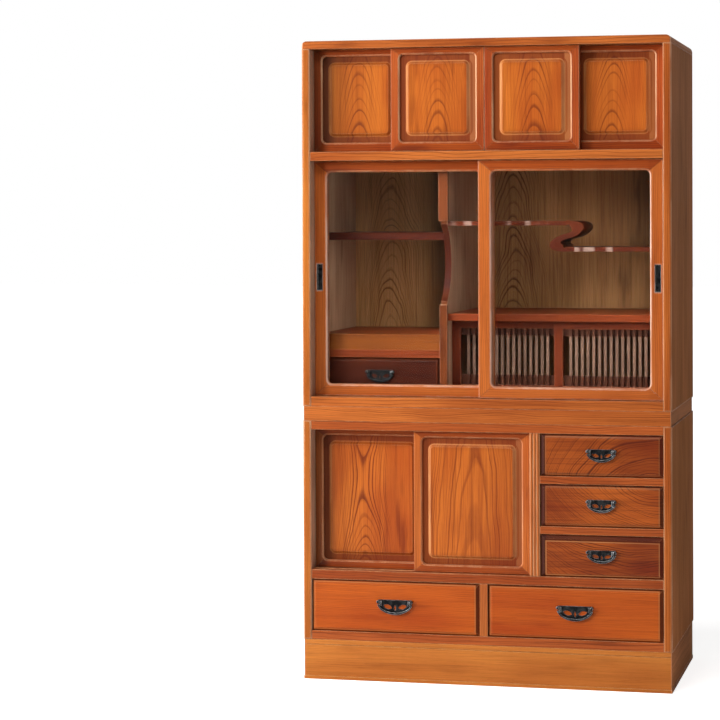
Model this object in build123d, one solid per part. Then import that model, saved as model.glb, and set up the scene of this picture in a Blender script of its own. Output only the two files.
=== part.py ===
"""Mizuya kitchen cabinet: a two-piece chest with sliding doors, a glazed display and six drawers.

Frame: X to the right seen from the front, Y to the back, Z up, millimetres.
The origin is the middle of the footprint on the floor.
"""
from build123d import *
from math import atan2, degrees, hypot
import os

os.makedirs("parts", exist_ok=True)

# ---------------------------------------------------------------- case
width = 1050.0
depth = 480.0
height = 1800.0
side_board = 24.0
top_board = 22.0
back_board = 8.0
top_rounding = 16.0
outer_rounding = 6.0    # of the front edges of the sides
inner_rounding = 3.0
rail_setback = 1.5      # rails and shelves stop this far behind the edges of the sides

plinth_height = 112.0
plinth_board = 20.0
plinth_inset = 2.75     # the plinth and the belt are this much narrower on each side
plinth_front_inset = 1.0
plinth_bead_height = 9.0
plinth_bead_depth = 1.5
plinth_strip = 13.0     # a fine groove runs this far under the top of the front board
plinth_groove = 1.5

bottom_board = 25.0
wide_drawer_opening = 146.0
lower_deck_board = 27.0
lower_opening = 395.0   # doors and small drawers of the lower case
head_rail = 25.0
belt_height = 41.0
sill_board = 27.0
middle_board = 25.0
glass_share = 0.6963    # the display takes this share of the height over the sill, the cupboard the rest

# ---------------------------------------------------------------- sliding doors
door_setback = 14.0
door_thick = 22.0
track_gap = 4.0         # between the front row of doors and the rear row
door_play = 1.0         # beside, above and between the doors
tongue_thick = 10.0
tongue_up = 6.0         # how far a door enters the track above it
tongue_down = 2.5
track_up = 8.0
track_play = 1.0        # both sides of a tongue together
ride_gap = 0.3          # under a door's tongue
panel_board = 6.0
panel_housing = 8.0     # how far a panel enters the groove of its frame
housing_play = 1.0
frame_bevel = 3.5

small_door_overlap = 35.0
small_door_stile = 25.0
small_door_top = 19.0
small_door_bottom = 26.0
small_door_corner = 11.0

lower_door_overlap = 36.0
lower_door_stile = 23.0
lower_door_top = 18.0
lower_door_bottom = 21.0
lower_door_corner = 13.0

glass_door_stile = 37.0
glass_door_top = 31.0
glass_door_bottom = 32.5
glass_door_corner = 14.0
pane = 4.0

field_margin = 17.0     # from the opening of a frame to the raised field of its panel
field_bevel = 8.0
field_corner = 17.0
field_recess = 1.5      # the field lies this far behind the face of the frame

cup_width = 17.0
cup_length = 76.0
cup_depth = 10.0
cup_wall = 1.5
cup_from_edge = 15.0    # centre of a finger cup from the outer edge of its door
cup_rise = 336.0        # and from the sill

# ---------------------------------------------------------------- display section
partition_x = -132.0
partition_board = 18.0
partition_setback = 70.0
post_depth = 12.0
upper_post_width = 27.0
lower_post_width = 22.0
upper_post_length = 170.0
lower_post_length = 258.0
scoop_depth = 62.0      # how far the hollow of the partition goes behind its posts

left_shelf_drop = 203.5     # from the middle board down to the left shelf
left_shelf_board = 21.5
left_shelf_setback = 150.0

inner_drawer_opening = 107.0
inner_rail_board = 22.0
apron_height = 44.0
apron_board = 15.0
apron_end_gap = 3.0
inner_deck_board = 18.0
inner_drawer_recess = 6.0   # the inner drawer stops this far behind the board over it

lattice_opening = 212.5
lattice_deck_board = 20.0
lattice_setback = 86.0
lattice_door_setback = 116.0
lattice_thick = 14.0
lattice_gap = 4.0
lattice_stile = 25.0
lattice_top = 22.0
lattice_bottom = 28.0
lattice_tongue = 6.0
slat_count = 15
slat_pitch = 16.4
slat_width = 8.0
slat_thick = 7.0
upper_slat_rail = 20.0  # the slats cross a rail behind them, under the top of the frame
lower_slat_rail = 29.0

# staggered shelf: two levels joined by one S-shaped bend
swirl_setback = 90.0
swirl_depth = 165.0
swirl_board = 12.7
swirl_headroom = 171.0
swirl_drop = 73.0       # from the upper level to the lower one
swirl_x = 217.5
swirl_reach = 47.5      # the bend goes this far to each side of its middle
swirl_arcs = 9
swirl_edge = [          # its upper edge, in shares of that reach and of half the total height
    (0.16, 1.0), (1.0, 0.51), (0.47, -0.02), (-0.09, -0.20), (-0.36, -0.42), (-0.10, -0.62), (0.40, -0.70)]

# ---------------------------------------------------------------- lower case
pilaster_left = 126.5
pilaster_width = 30.0
reed_count = 3
reed_border = 1.5
reed_depth = 2.4
drawer_partition_board = 24.0
drawer_rail = 22.0
wide_divider = 22.5
wide_divider_x = -3.5

# ---------------------------------------------------------------- drawers
drawer_setback = 2.5
drawer_play = 1.5       # beside and above a drawer
drawer_ride = 0.3
drawer_front = 20.0
drawer_side = 12.0
drawer_floor = 6.0
drawer_border = 10.0
drawer_border_drop = 4.5
drawer_side_drop = 14.0  # the sides stop this far below the top of the front
drawer_back_room = 8.0

# ---------------------------------------------------------------- pulls
wide_pull_width = 103.0
wide_pull_height = 40.0
small_pull_width = 84.0
small_pull_height = 34.0
plate_thick = 2.0
stud_radius = 4.0
stud_length = 10.0
pin_radius = 1.5
pin_play = 0.15
eye_radius = 3.4
eye_length = 5.0
eye_side_play = 0.6
bail_thick = 4.0
bail_stand = 5.4        # from the drawer front to the middle of the bail
bail_belly = 6.5        # width of the bail's bow at its lowest point
bail_limb = 4.4         # and at its ends
bail_shoulder = 8.0     # the bow starts this far under the pins, clear of the studs
plate_inset = 3.0       # the plate is this much smaller than the bow all round
strap_height = 5.0      # upper edge of the plate, over its openings
opening_share = 0.86    # openings take this share of the plate's half-width and depth
leaf_at = (0.51, 0.50)      # middle of a leaf, in shares of that half-width and depth
leaf_size = (0.31, 0.22)    # its half-length and half-width, in the same shares
leaf_turn = 16.0
bud_at = 0.62               # middle of the bud between the leaves, below the pins
bud_size = (0.27, 0.075)
bow_corner = 0.82           # radius of the bow's corners, in shares of its depth
round_sides = 12            # flat sides of a thin round rod

# ---------------------------------------------------------------- levels
front = -depth / 2
back = depth / 2
inner_x = width / 2 - side_board
panel_front = back - back_board
rail_front = front + rail_setback

bottom_top = plinth_height + bottom_board
lower_deck_bottom = bottom_top + wide_drawer_opening
lower_deck_top = lower_deck_bottom + lower_deck_board
head_bottom = lower_deck_top + lower_opening
belt_bottom = head_bottom + head_rail
belt_top = belt_bottom + belt_height
sill_top = belt_top + sill_board
top_bottom = height - top_board
middle_bottom = sill_top + glass_share * (top_bottom - sill_top - middle_board)
middle_top = middle_bottom + middle_board
cup_height = sill_top + cup_rise
scoop_top = middle_bottom - upper_post_length
scoop_bottom = sill_top + lower_post_length
left_shelf_top = middle_bottom - left_shelf_drop
swirl_upper_top = middle_bottom - swirl_headroom

door_front = front + door_setback
rear_door_front = door_front + door_thick + track_gap
doors_back = rear_door_front + door_thick
partition_left = partition_x - partition_board / 2
partition_right = partition_x + partition_board / 2
partition_front = front + partition_setback
pilaster_right = pilaster_left + pilaster_width
divider_left = wide_divider_x - wide_divider / 2
divider_right = wide_divider_x + wide_divider / 2


def block(x0, x1, y0, y1, z0, z1):
    """A board between two opposite corners."""
    return Pos((x0 + x1) / 2, (y0 + y1) / 2, (z0 + z1) / 2) * Box(x1 - x0, y1 - y0, z1 - z0)


def upright(sketch, x, z, y0, y1):
    """A flat shape drawn in the XZ plane about (x, z) and made solid from y0 back to y1."""
    return extrude(Pos(x, y1, z) * (Plane.XZ * sketch), amount=y1 - y0, dir=(0, -1, 0))


def save(name, solids):
    """Write one piece, or the members of one assembly, as a STEP file."""
    shape = solids[0] if len(solids) == 1 else Compound(children=list(solids))
    export_step(shape, f"parts/{name}.step")


def track(x0, x1, y_door, thick, tongue, z0, z1):
    """The groove in which the tongues of one row of doors run."""
    middle = y_door + thick / 2
    half = (tongue + track_play) / 2
    return block(x0, x1, middle - half, middle + half, z0, z1)


def tracked(board, x0, x1, z_top=None, z_bottom=None):
    """Cut the front and rear door tracks into the top or the underside of a board."""
    for y_door in (door_front, rear_door_front):
        if z_top is not None:
            board -= track(x0, x1, y_door, door_thick, tongue_thick, z_top - tongue_down - ride_gap, z_top)
        if z_bottom is not None:
            board -= track(x0, x1, y_door, door_thick, tongue_thick, z_bottom, z_bottom + track_up)
    return board


# ---------------------------------------------------------------- door building
def frame_members(ring, x0, x1, z0, z1, stile, top, bottom, y0, y1):
    """Cut a frame along its mitres into bottom rail, right stile, top rail and left stile."""
    outer = [(x0, z0), (x1, z0), (x1, z1), (x0, z1)]
    inner = [(x0 + stile, z0 + bottom), (x1 - stile, z0 + bottom),
             (x1 - stile, z1 - top), (x0 + stile, z1 - top)]
    deep = [(2 * i[0] - o[0], 2 * i[1] - o[1]) for i, o in zip(inner, outer)]
    away = [(0, -top), (top, 0), (0, top), (-top, 0)]
    members = []
    for i, (dx, dz) in enumerate(away):
        j = (i + 1) % 4
        corners = [outer[i], (outer[i][0] + dx, outer[i][1] + dz),
                   (outer[j][0] + dx, outer[j][1] + dz), outer[j], deep[j], deep[i]]
        wedge = upright(make_face(Polyline(*corners, close=True)), 0, 0, y0, y1)
        members += (ring & wedge).solids()
    return members


def door_ring(x0, x1, z0, z1, y0, thick, stile, top, bottom, corner, sheet, tongue, bevel):
    """A door frame in one piece: opening, groove for the sheet it holds, tongues and bevel.

    The corners of the opening are rounded in front of the sheet and square behind it.
    """
    opening = (x1 - x0 - 2 * stile, z1 - z0 - top - bottom)
    mid = ((x0 + x1) / 2, (z0 + bottom + z1 - top) / 2)
    ring = block(x0, x1, y0, y0 + thick, z0, z1)
    middle = y0 + thick / 2
    ring += block(x0, x1, middle - tongue / 2, middle + tongue / 2, z1, z1 + tongue_up)
    ring += block(x0, x1, middle - tongue / 2, middle + tongue / 2, z0 - tongue_down, z0)
    rounded = RectangleRounded(*opening, corner) if corner else Rectangle(*opening)
    ring -= upright(rounded, *mid, y0, middle)
    ring -= upright(Rectangle(*opening), *mid, middle, y0 + thick)
    if sheet:
        groove = Rectangle(*(side + 2 * (panel_housing + housing_play) for side in opening))
        ring -= upright(groove, *mid, middle - sheet / 2, middle + sheet / 2)
    if bevel:
        ring = chamfer(ring.faces().sort_by(Axis.Y)[0].inner_wires()[0].edges(), bevel)
    return ring, mid, opening


def raised_panel(mid, opening, y0, thick):
    """A panel housed in its frame, with a raised field that has bevelled edges."""
    middle = y0 + thick / 2
    housed = Rectangle(*(side + 2 * panel_housing for side in opening))
    panel = upright(housed, *mid, middle - panel_board / 2, middle + panel_board / 2)
    foot = [side - 2 * field_margin for side in opening]
    y_foot = middle - panel_board / 2
    rise = y_foot - y0 - field_recess
    foot = Pos(mid[0], y_foot, mid[1]) * (Plane.XZ * RectangleRounded(*foot, field_corner))
    return panel + extrude(foot, amount=rise, taper=degrees(atan2(field_bevel, rise)))


def panel_door(name, x0, x1, z0, z1, y0, stile, top, bottom, corner):
    """A sliding door: mitred frame and raised panel."""
    z0, z1 = z0 + door_play, z1 - door_play
    ring, mid, opening = door_ring(x0, x1, z0, z1, y0, door_thick, stile, top, bottom, corner,
                                   panel_board, tongue_thick, frame_bevel)
    members = frame_members(ring, x0, x1, z0, z1, stile, top, bottom, y0, y0 + door_thick)
    save(f"{name}_frame", members)
    save(f"{name}_panel", [raised_panel(mid, opening, y0, door_thick)])


def cup_block(x, y0, y1, margin=0.0):
    """The outer body of a finger cup, or its mortise."""
    return block(x - cup_width / 2 + margin, x + cup_width / 2 - margin, y0, y1,
                 cup_height - cup_length / 2 + margin, cup_height + cup_length / 2 - margin)


def glass_door(name, x0, x1, y0, cup_x):
    """A glazed sliding door with a finger cup let into its outer stile."""
    z0, z1 = sill_top + door_play, middle_bottom - door_play
    ring, mid, opening = door_ring(x0, x1, z0, z1, y0, door_thick, glass_door_stile, glass_door_top,
                                   glass_door_bottom, glass_door_corner, pane, tongue_thick, frame_bevel)
    ring -= cup_block(cup_x, y0, y0 + cup_depth)
    members = frame_members(ring, x0, x1, z0, z1, glass_door_stile, glass_door_top,
                            glass_door_bottom, y0, y0 + door_thick)
    save(f"{name}_frame", members)
    middle = y0 + door_thick / 2
    sheet = Rectangle(*(side + 2 * panel_housing for side in opening))
    save(f"{name}_pane", [upright(sheet, *mid, middle - pane / 2, middle + pane / 2)])
    cup = cup_block(cup_x, y0, y0 + cup_depth) - cup_block(cup_x, y0, y0 + cup_depth - cup_wall, cup_wall)
    save(f"{name}_pull", [cup])


def lattice_door(name, x0, x1, y0):
    """A light sliding door: mitred frame, a row of upright slats and the two rails behind them."""
    z0, z1 = sill_top + door_play, sill_top + lattice_opening - door_play
    ring, mid, opening = door_ring(x0, x1, z0, z1, y0, lattice_thick, lattice_stile, lattice_top,
                                   lattice_bottom, 0, 0, lattice_tongue, 0)
    members = frame_members(ring, x0, x1, z0, z1, lattice_stile, lattice_top, lattice_bottom,
                            y0, y0 + lattice_thick)
    z0, z1 = z0 + lattice_bottom, z1 - lattice_top
    slat_back = y0 + (lattice_thick + slat_thick) / 2
    first = mid[0] - ((slat_count - 1) * slat_pitch + slat_width) / 2
    for i in range(slat_count):
        left = first + i * slat_pitch
        members.append(block(left, left + slat_width, slat_back - slat_thick, slat_back, z0, z1))
    for low, high in ((z0, z0 + lower_slat_rail), (z1 - upper_slat_rail, z1)):
        members.append(block(x0 + lattice_stile, x1 - lattice_stile,
                             slat_back, y0 + lattice_thick, low, high))
    save(name, members)


# ---------------------------------------------------------------- cases
def side(sign, z0, z1):
    """The left (-1) or right (1) side of a case, its front edge rounded outside and inside."""
    plan = Pos(sign * (width - side_board) / 2, 0) * Rectangle(side_board, depth)
    for place, radius in ((-1, outer_rounding), (0, inner_rounding)):
        corners = plan.vertices().group_by(Axis.Y)[0].sort_by(lambda corner: abs(corner.X))
        plan = fillet(corners[place], radius)
    return extrude(Pos(0, 0, z0) * plan, amount=z1 - z0)


def sides(case, z0, z1):
    """Write both sides of the upper or lower case."""
    for sign, hand in ((-1, "left"), (1, "right")):
        save(f"{case}_{hand}_side", [side(sign, z0, z1)])


def upper_case():
    """Sides, top, back and the boards that carry the sliding doors."""
    sides("upper", belt_top, top_bottom)
    plan = Rectangle(width, depth)
    plan = fillet(plan.vertices().group_by(Axis.Y)[0], outer_rounding)
    top = extrude(Pos(0, 0, top_bottom) * plan, amount=top_board)
    profile = Pos(0, height - top_board) * Rectangle(width, 2 * top_board)
    profile = fillet(profile.vertices().group_by(Axis.Y)[-1], top_rounding)
    top &= upright(profile, 0, 0, front, back)
    save("upper_top_board", [tracked(top, -inner_x, inner_x, z_bottom=top_bottom)])
    save("upper_back_panel", [block(-inner_x, inner_x, panel_front, back, belt_top, top_bottom)])

    middle = block(-inner_x, inner_x, rail_front, panel_front, middle_bottom, middle_top)
    save("upper_middle_board", [tracked(middle, -inner_x, inner_x, middle_top, middle_bottom)])
    sill = block(-inner_x, inner_x, rail_front, panel_front, belt_top, sill_top)
    sill = tracked(sill, -inner_x, inner_x, z_top=sill_top)
    for y_door in lattice_rows():
        sill -= track(partition_right, inner_x, y_door, lattice_thick, lattice_tongue,
                      sill_top - tongue_down - ride_gap, sill_top)
    save("upper_sill_board", [sill])


def small_doors():
    """Four raised-panel doors: the outer pair runs in the rear track, the inner pair in front."""
    door = (2 * inner_x + 2 * small_door_overlap) / 4
    spans = [(-inner_x + door_play, -inner_x + door, rear_door_front),
             (-door, -door_play / 2, door_front),
             (door_play / 2, door, door_front),
             (inner_x - door, inner_x - door_play, rear_door_front)]
    for i, (x0, x1, y0) in enumerate(spans, 1):
        panel_door(f"small_door_{i}", x0, x1, middle_top, top_bottom, y0, small_door_stile,
                   small_door_top, small_door_bottom, small_door_corner)


def glass_doors():
    """Two glazed doors: the left one runs behind the right one and they overlap by a stile."""
    reach = glass_door_stile / 2
    left, right = -inner_x + door_play, inner_x - door_play
    glass_door("glass_door_left", left, reach, rear_door_front, left + cup_from_edge)
    glass_door("glass_door_right", -reach, right, door_front, right - cup_from_edge)


def partition():
    """The upright board between the two displays, hollowed in front, with its two front posts."""
    y0 = partition_front + post_depth
    board = block(partition_left, partition_right, y0, panel_front, sill_top, middle_bottom)
    half = (scoop_top - scoop_bottom) / 2
    radius = (half ** 2 + scoop_depth ** 2) / (2 * scoop_depth)
    hollow = Cylinder(radius, 2 * partition_board, rotation=(0, 90, 0))
    board -= Pos(partition_x, partition_front + scoop_depth - radius, scoop_bottom + half) * hollow
    solids = [board]
    for wide, z0, z1 in ((upper_post_width, scoop_top, middle_bottom),
                         (lower_post_width, sill_top, scoop_bottom)):
        solids.append(block(partition_x - wide / 2, partition_x + wide / 2, partition_front, y0, z0, z1))
    save("curved_partition", solids)


def left_display():
    """The shelf, the deck over the inner drawer, its apron and the rail board under it."""
    z_rail = sill_top + inner_drawer_opening
    z_deck = z_rail + inner_rail_board
    y0 = partition_front + post_depth
    save("left_shelf", [block(-inner_x, partition_left, front + left_shelf_setback, panel_front,
                              left_shelf_top - left_shelf_board, left_shelf_top)])
    z_top = z_deck + apron_height
    save("inner_deck", [
        block(-inner_x, partition_left, y0, panel_front, z_rail, z_deck),
        block(-inner_x, partition_left, y0 + apron_board, panel_front, z_top - inner_deck_board, z_top),
        block(-inner_x + apron_end_gap, partition_left - apron_end_gap, y0, y0 + apron_board, z_deck, z_top)])


def lattice_rows():
    """Where the faces of the front and rear lattice doors stand."""
    first = front + lattice_door_setback
    return first, first + lattice_thick + lattice_gap


def lattice_cupboard():
    """The board over the small cupboard and its two lattice doors."""
    z0 = sill_top + lattice_opening
    deck = block(partition_right, inner_x, front + lattice_setback, panel_front, z0, z0 + lattice_deck_board)
    first, second = lattice_rows()
    for y_door in (first, second):
        deck -= track(partition_right, inner_x, y_door, lattice_thick, lattice_tongue, z0, z0 + track_up)
    save("lattice_deck", [deck])
    door = (inner_x - partition_right + lattice_stile) / 2
    lattice_door("lattice_door_left", partition_right + door_play, partition_right + door, second)
    lattice_door("lattice_door_right", inner_x - door, inner_x - door_play, first)


def staggered_shelf():
    """Two shelves at different heights made as one board with an S-shaped bend between them.

    The bend is point-symmetric about its middle, so its two edges are one curve turned by half a turn.
    Each edge is worked as a chain of arcs.
    """
    rise = swirl_drop / 2
    half = swirl_board / 2
    level_top, level_low = rise + half, -rise + half
    start, *between, end = [Vector(swirl_reach * u, level_top * v) for u, v in swirl_edge]
    end = Vector(end.X, level_low)
    curve = Spline(start, *between, end, tangents=[(1, 0), (1, 0)])
    bend = Curve() + [ThreePointArc(*(curve @ ((i + t) / swirl_arcs) for t in (0, 0.5, 1)))
                      for i in range(swirl_arcs)]
    left, right = partition_right - swirl_x, inner_x - swirl_x
    over = Line((left, level_top), start) + bend + Line(end, (right, level_low))
    turned = bend.rotate(Axis.Z, 180)
    under = (Line((left, -level_low), (-end.X, -end.Y)) + turned
             + Line((-start.X, -start.Y), (right, -level_top)))
    ends = Line((left, level_top), (left, -level_low)) + Line((right, level_low), (right, -level_top))
    profile = make_face(over + under + ends)
    y0 = front + swirl_setback
    z_mid = swirl_upper_top - half - rise
    save("staggered_shelf", [upright(profile, swirl_x, z_mid, y0, y0 + swirl_depth)])


# ---------------------------------------------------------------- lower case
def plinth():
    """Four boards standing on the floor, with a small shoe bead round the front and sides."""
    x1, y0, y1 = width / 2 - plinth_inset, front + plinth_front_inset, back - plinth_inset
    bead = plinth_bead_depth
    z_groove = plinth_height - plinth_strip
    board = block(-x1, x1, y0, y0 + plinth_board, 0, plinth_height)
    board -= block(-x1, x1, y0, y0 + plinth_groove, z_groove - plinth_groove, z_groove)
    solids = [board,
              block(-x1, x1, y1 - plinth_board, y1, 0, plinth_height)]
    for x0 in (-x1, x1 - plinth_board):
        solids.append(block(x0, x0 + plinth_board, y0 + plinth_board, y1 - plinth_board, 0, plinth_height))
    solids.append(block(-x1 - bead, x1 + bead, y0 - bead, y0, 0, plinth_bead_height))
    for x0 in (-x1 - bead, x1):
        solids.append(block(x0, x0 + bead, y0, y1, 0, plinth_bead_height))
    save("plinth", solids)


def lower_case():
    """Sides, back, belt and the boards between them."""
    sides("lower", plinth_height, belt_bottom)
    save("lower_back_panel", [block(-inner_x, inner_x, panel_front, back, plinth_height, belt_bottom)])
    save("belt_board", [block(-width / 2 + plinth_inset, width / 2 - plinth_inset, front,
                              back - plinth_inset, belt_bottom, belt_top)])
    save("lower_bottom_board", [block(-inner_x, inner_x, rail_front, panel_front, plinth_height, bottom_top)])
    deck = block(-inner_x, inner_x, rail_front, panel_front, lower_deck_bottom, lower_deck_top)
    save("lower_deck", [tracked(deck, -inner_x, pilaster_left, z_top=lower_deck_top)])
    save("wide_drawer_divider", [block(divider_left, divider_right, rail_front, panel_front,
                                       bottom_top, lower_deck_bottom)])

    rail_back = doors_back + track_gap
    head = block(-inner_x, inner_x, rail_front, rail_back, head_bottom, belt_bottom)
    rails = [tracked(head, -inner_x, pilaster_left, z_bottom=head_bottom)]
    for z0 in small_drawer_levels()[:-1]:
        z1 = z0 - drawer_rail
        rails.append(block(pilaster_right, inner_x, rail_front, panel_front, z1, z0))
    save("lower_rails", rails)
    save("drawer_partition", [block(pilaster_right - drawer_partition_board, pilaster_right, rail_back,
                                    panel_front, lower_deck_top, belt_bottom)])


def pilaster():
    """The reeded post between the doors and the small drawers."""
    rail_back = doors_back + track_gap
    reed_foot = rail_front + reed_depth
    plan = Rectangle(pilaster_width, rail_back - reed_foot)
    plan = Pos((pilaster_left + pilaster_right) / 2, (reed_foot + rail_back) / 2) * plan
    pitch = (pilaster_width - 2 * reed_border) / reed_count
    radius = ((pitch / 2) ** 2 + reed_depth ** 2) / (2 * reed_depth)
    for i in range(reed_count):
        x = pilaster_left + reed_border + (i + 0.5) * pitch
        reed = Circle(radius) & Pos(0, -radius + reed_depth / 2) * Rectangle(2 * radius, reed_depth)
        plan += Pos(x, rail_front + radius) * reed
    save("fluted_pilaster", [extrude(Pos(0, 0, lower_deck_top) * plan, amount=head_bottom - lower_deck_top)])


def lower_doors():
    """Two raised-panel doors left of the pilaster, the left one in the rear track."""
    door = (pilaster_left + inner_x + lower_door_overlap) / 2
    spans = [("lower_door_left", -inner_x + door_play, -inner_x + door, rear_door_front),
             ("lower_door_right", pilaster_left - door, pilaster_left - door_play, door_front)]
    for name, x0, x1, y0 in spans:
        panel_door(name, x0, x1, lower_deck_top, head_bottom, y0, lower_door_stile,
                   lower_door_top, lower_door_bottom, lower_door_corner)


# ---------------------------------------------------------------- drawers and pulls
def small_drawer_levels():
    """The floor of each small drawer, from the top one down."""
    tall = (lower_opening - 2 * drawer_rail) / 3
    return [lower_deck_top + i * (tall + drawer_rail) for i in (2, 1, 0)]


def drawer(name, x0, x1, z0, z1, y_front, pull_width, pull_height):
    """A drawer box in its opening, with a bevelled front, and its pull."""
    x0, x1, z0, z1 = x0 + drawer_play, x1 - drawer_play, z0 + drawer_ride, z1 - drawer_play
    y1 = panel_front - drawer_back_room
    y_box = y_front + drawer_front
    z_sides = z1 - drawer_side_drop
    mid = ((x0 + x1) / 2, (z0 + z1) / 2)
    size = (x1 - x0, z1 - z0)
    face = loft([
        Pos(mid[0], y_front + drawer_border_drop, mid[1]) * (Plane.XZ * Rectangle(*size)),
        Pos(mid[0], y_front, mid[1]) * (Plane.XZ * Rectangle(*(side - 2 * drawer_border for side in size))),
    ], ruled=True)
    board = face + block(x0, x1, y_front + drawer_border_drop, y_box, z0, z1)
    solids = [board]
    for left in (x0, x1 - drawer_side):
        solids.append(block(left, left + drawer_side, y_box, y1, z0, z_sides))
    solids.append(block(x0 + drawer_side, x1 - drawer_side, y1 - drawer_side, y1, z0, z_sides))
    solids.append(block(x0 + drawer_side, x1 - drawer_side, y_box, y1 - drawer_side, z0, z0 + drawer_floor))
    save(name, solids)
    pull(name, mid[0], mid[1], y_front, pull_width, pull_height)


def half_moon(wide, tall):
    """The lower half of a three-centred oval, hanging from z = 0."""
    corner = bow_corner * tall
    run, rise = wide / 2 - corner, tall - corner
    centre = (run ** 2 - rise ** 2) / (2 * rise)
    stretch = (centre + tall) / hypot(run, centre)
    touch = (run * stretch, centre * (1 - stretch))
    edges = [TangentArc((side * wide / 2, 0), (side * touch[0], touch[1]), tangent=(0, -1))
             for side in (-1, 1)]
    bottom = ThreePointArc((-touch[0], touch[1]), (0, -tall), touch)
    return make_face(Curve() + [*edges, bottom, Line((-wide / 2, 0), (wide / 2, 0))])


def lens(half, rise):
    """A pointed oval between two equal arcs, of the given half-length and half-width."""
    radius = (half ** 2 + rise ** 2) / (2 * rise)
    return Pos(0, radius - rise) * Circle(radius) & Pos(0, rise - radius) * Circle(radius)


def tracery(half, tall):
    """The openings of a plate: two leaves that follow the bow, and a bud between them."""
    cut = Pos(0, -bud_at * tall) * Rot(0, 0, 90) * lens(bud_size[0] * tall, bud_size[1] * half)
    for side in (-1, 1):
        leaf = Rot(0, 0, side * leaf_turn) * lens(leaf_size[0] * half, leaf_size[1] * tall)
        cut += Pos(side * leaf_at[0] * half, -leaf_at[1] * tall) * leaf
    return cut


def rod(plane, radius, length):
    """A thin round rod across a plane, centred on it."""
    return extrude(plane * RegularPolygon(radius, round_sides), amount=length / 2, both=True)


def pull(name, x, z_mid, y_front, wide, tall):
    """An openwork half-moon plate with two studs, and the bail that hangs from their pins."""
    z = z_mid + tall / 2 - stud_radius
    drop = tall - stud_radius
    stud_x = wide / 2 - stud_radius
    eye_x = stud_x - stud_radius - eye_side_play - eye_length / 2
    hang = y_front - bail_stand

    plate_half, plate_drop = wide / 2 - plate_inset, drop - plate_inset
    outline = half_moon(2 * plate_half, plate_drop)
    outline += Pos(0, strap_height / 2) * Rectangle(2 * plate_half, strap_height)
    outline -= tracery(opening_share * plate_half, opening_share * plate_drop)
    plate = upright(outline, x, z, y_front - plate_thick, y_front)
    pin_length = stud_radius + 2 * eye_side_play + eye_length
    for side in (-1, 1):
        stud = rod(Plane.XZ, stud_radius, stud_length)
        plate += Pos(x + side * stud_x, y_front - stud_length / 2, z) * stud
        plate += Pos(x + side * (stud_x - pin_length / 2), hang, z) * rod(Plane.YZ, pin_radius, pin_length)
    save(f"{name}_plate", [plate])

    moon = half_moon(wide, drop)
    bow = moon - half_moon(wide - 2 * bail_limb, drop - bail_belly)
    bow -= Pos(0, -bail_shoulder / 2) * Rectangle(wide, bail_shoulder)
    neck_drop = bail_shoulder + bail_limb
    shoulder = (wide / 2 - bail_limb / 2) - (eye_x - eye_length / 2)
    for side in (-1, 1):
        bow += Pos(side * eye_x, -neck_drop / 2) * Rectangle(eye_length, neck_drop)
        at = Pos(side * (wide / 2 - bail_limb / 2 - shoulder / 2), -bail_shoulder - bail_limb / 2)
        bow += at * Rectangle(shoulder, bail_limb) & moon
    bail = upright(bow, x, z, hang - bail_thick / 2, hang + bail_thick / 2)
    for side in (-1, 1):
        at = Pos(x + side * eye_x, hang, z)
        bail += at * rod(Plane.YZ, eye_radius, eye_length)
        bail -= at * rod(Plane.YZ, pin_radius + pin_play, 2 * eye_length)
    save(f"{name}_bail", [bail])


def drawers():
    """Three small drawers, two wide ones at the bottom and the one inside the display."""
    levels = small_drawer_levels()
    tall = (lower_opening - 2 * drawer_rail) / 3
    face = front + drawer_setback
    for i, z0 in enumerate(levels, 1):
        drawer(f"small_drawer_{i}", pilaster_right, inner_x, z0, z0 + tall, face,
               small_pull_width, small_pull_height)
    for name, x0, x1 in (("wide_drawer_left", -inner_x, divider_left),
                         ("wide_drawer_right", divider_right, inner_x)):
        drawer(name, x0, x1, bottom_top, lower_deck_bottom, face, wide_pull_width, wide_pull_height)
    drawer("inner_drawer", -inner_x, partition_x - lower_post_width / 2, sill_top,
           sill_top + inner_drawer_opening, partition_front + post_depth + inner_drawer_recess,
           small_pull_width, small_pull_height)


upper_case()
small_doors()
glass_doors()
partition()
left_display()
lattice_cupboard()
staggered_shelf()
plinth()
lower_case()
pilaster()
lower_doors()
drawers()
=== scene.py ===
"""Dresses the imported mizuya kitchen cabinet: lacquered zelkova, blackened iron, glass, light and camera."""
from __future__ import annotations

import logging
import math
from dataclasses import dataclass, replace
from enum import Enum
from functools import partial, reduce
from typing import Any, Iterable, Protocol, Sequence

import bmesh
import bpy
from mathutils import Euler, Matrix, Vector


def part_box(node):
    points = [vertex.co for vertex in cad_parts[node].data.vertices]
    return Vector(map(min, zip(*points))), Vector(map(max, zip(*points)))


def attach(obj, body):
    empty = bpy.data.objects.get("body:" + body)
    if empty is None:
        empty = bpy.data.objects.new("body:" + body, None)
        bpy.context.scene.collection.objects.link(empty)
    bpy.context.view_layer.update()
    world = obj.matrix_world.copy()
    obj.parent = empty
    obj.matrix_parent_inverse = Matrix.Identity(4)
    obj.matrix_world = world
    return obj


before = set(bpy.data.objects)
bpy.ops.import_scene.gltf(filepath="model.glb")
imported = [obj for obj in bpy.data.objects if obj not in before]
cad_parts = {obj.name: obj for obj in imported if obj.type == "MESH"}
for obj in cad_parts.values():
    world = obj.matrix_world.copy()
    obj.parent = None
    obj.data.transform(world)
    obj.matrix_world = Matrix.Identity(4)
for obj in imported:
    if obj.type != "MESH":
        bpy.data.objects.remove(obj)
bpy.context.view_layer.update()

log = logging.getLogger("mizuya")
Socket = bpy.types.NodeSocket
# The axes of a place or a corner, by number.
X, Y, Z = range(3)


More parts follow.
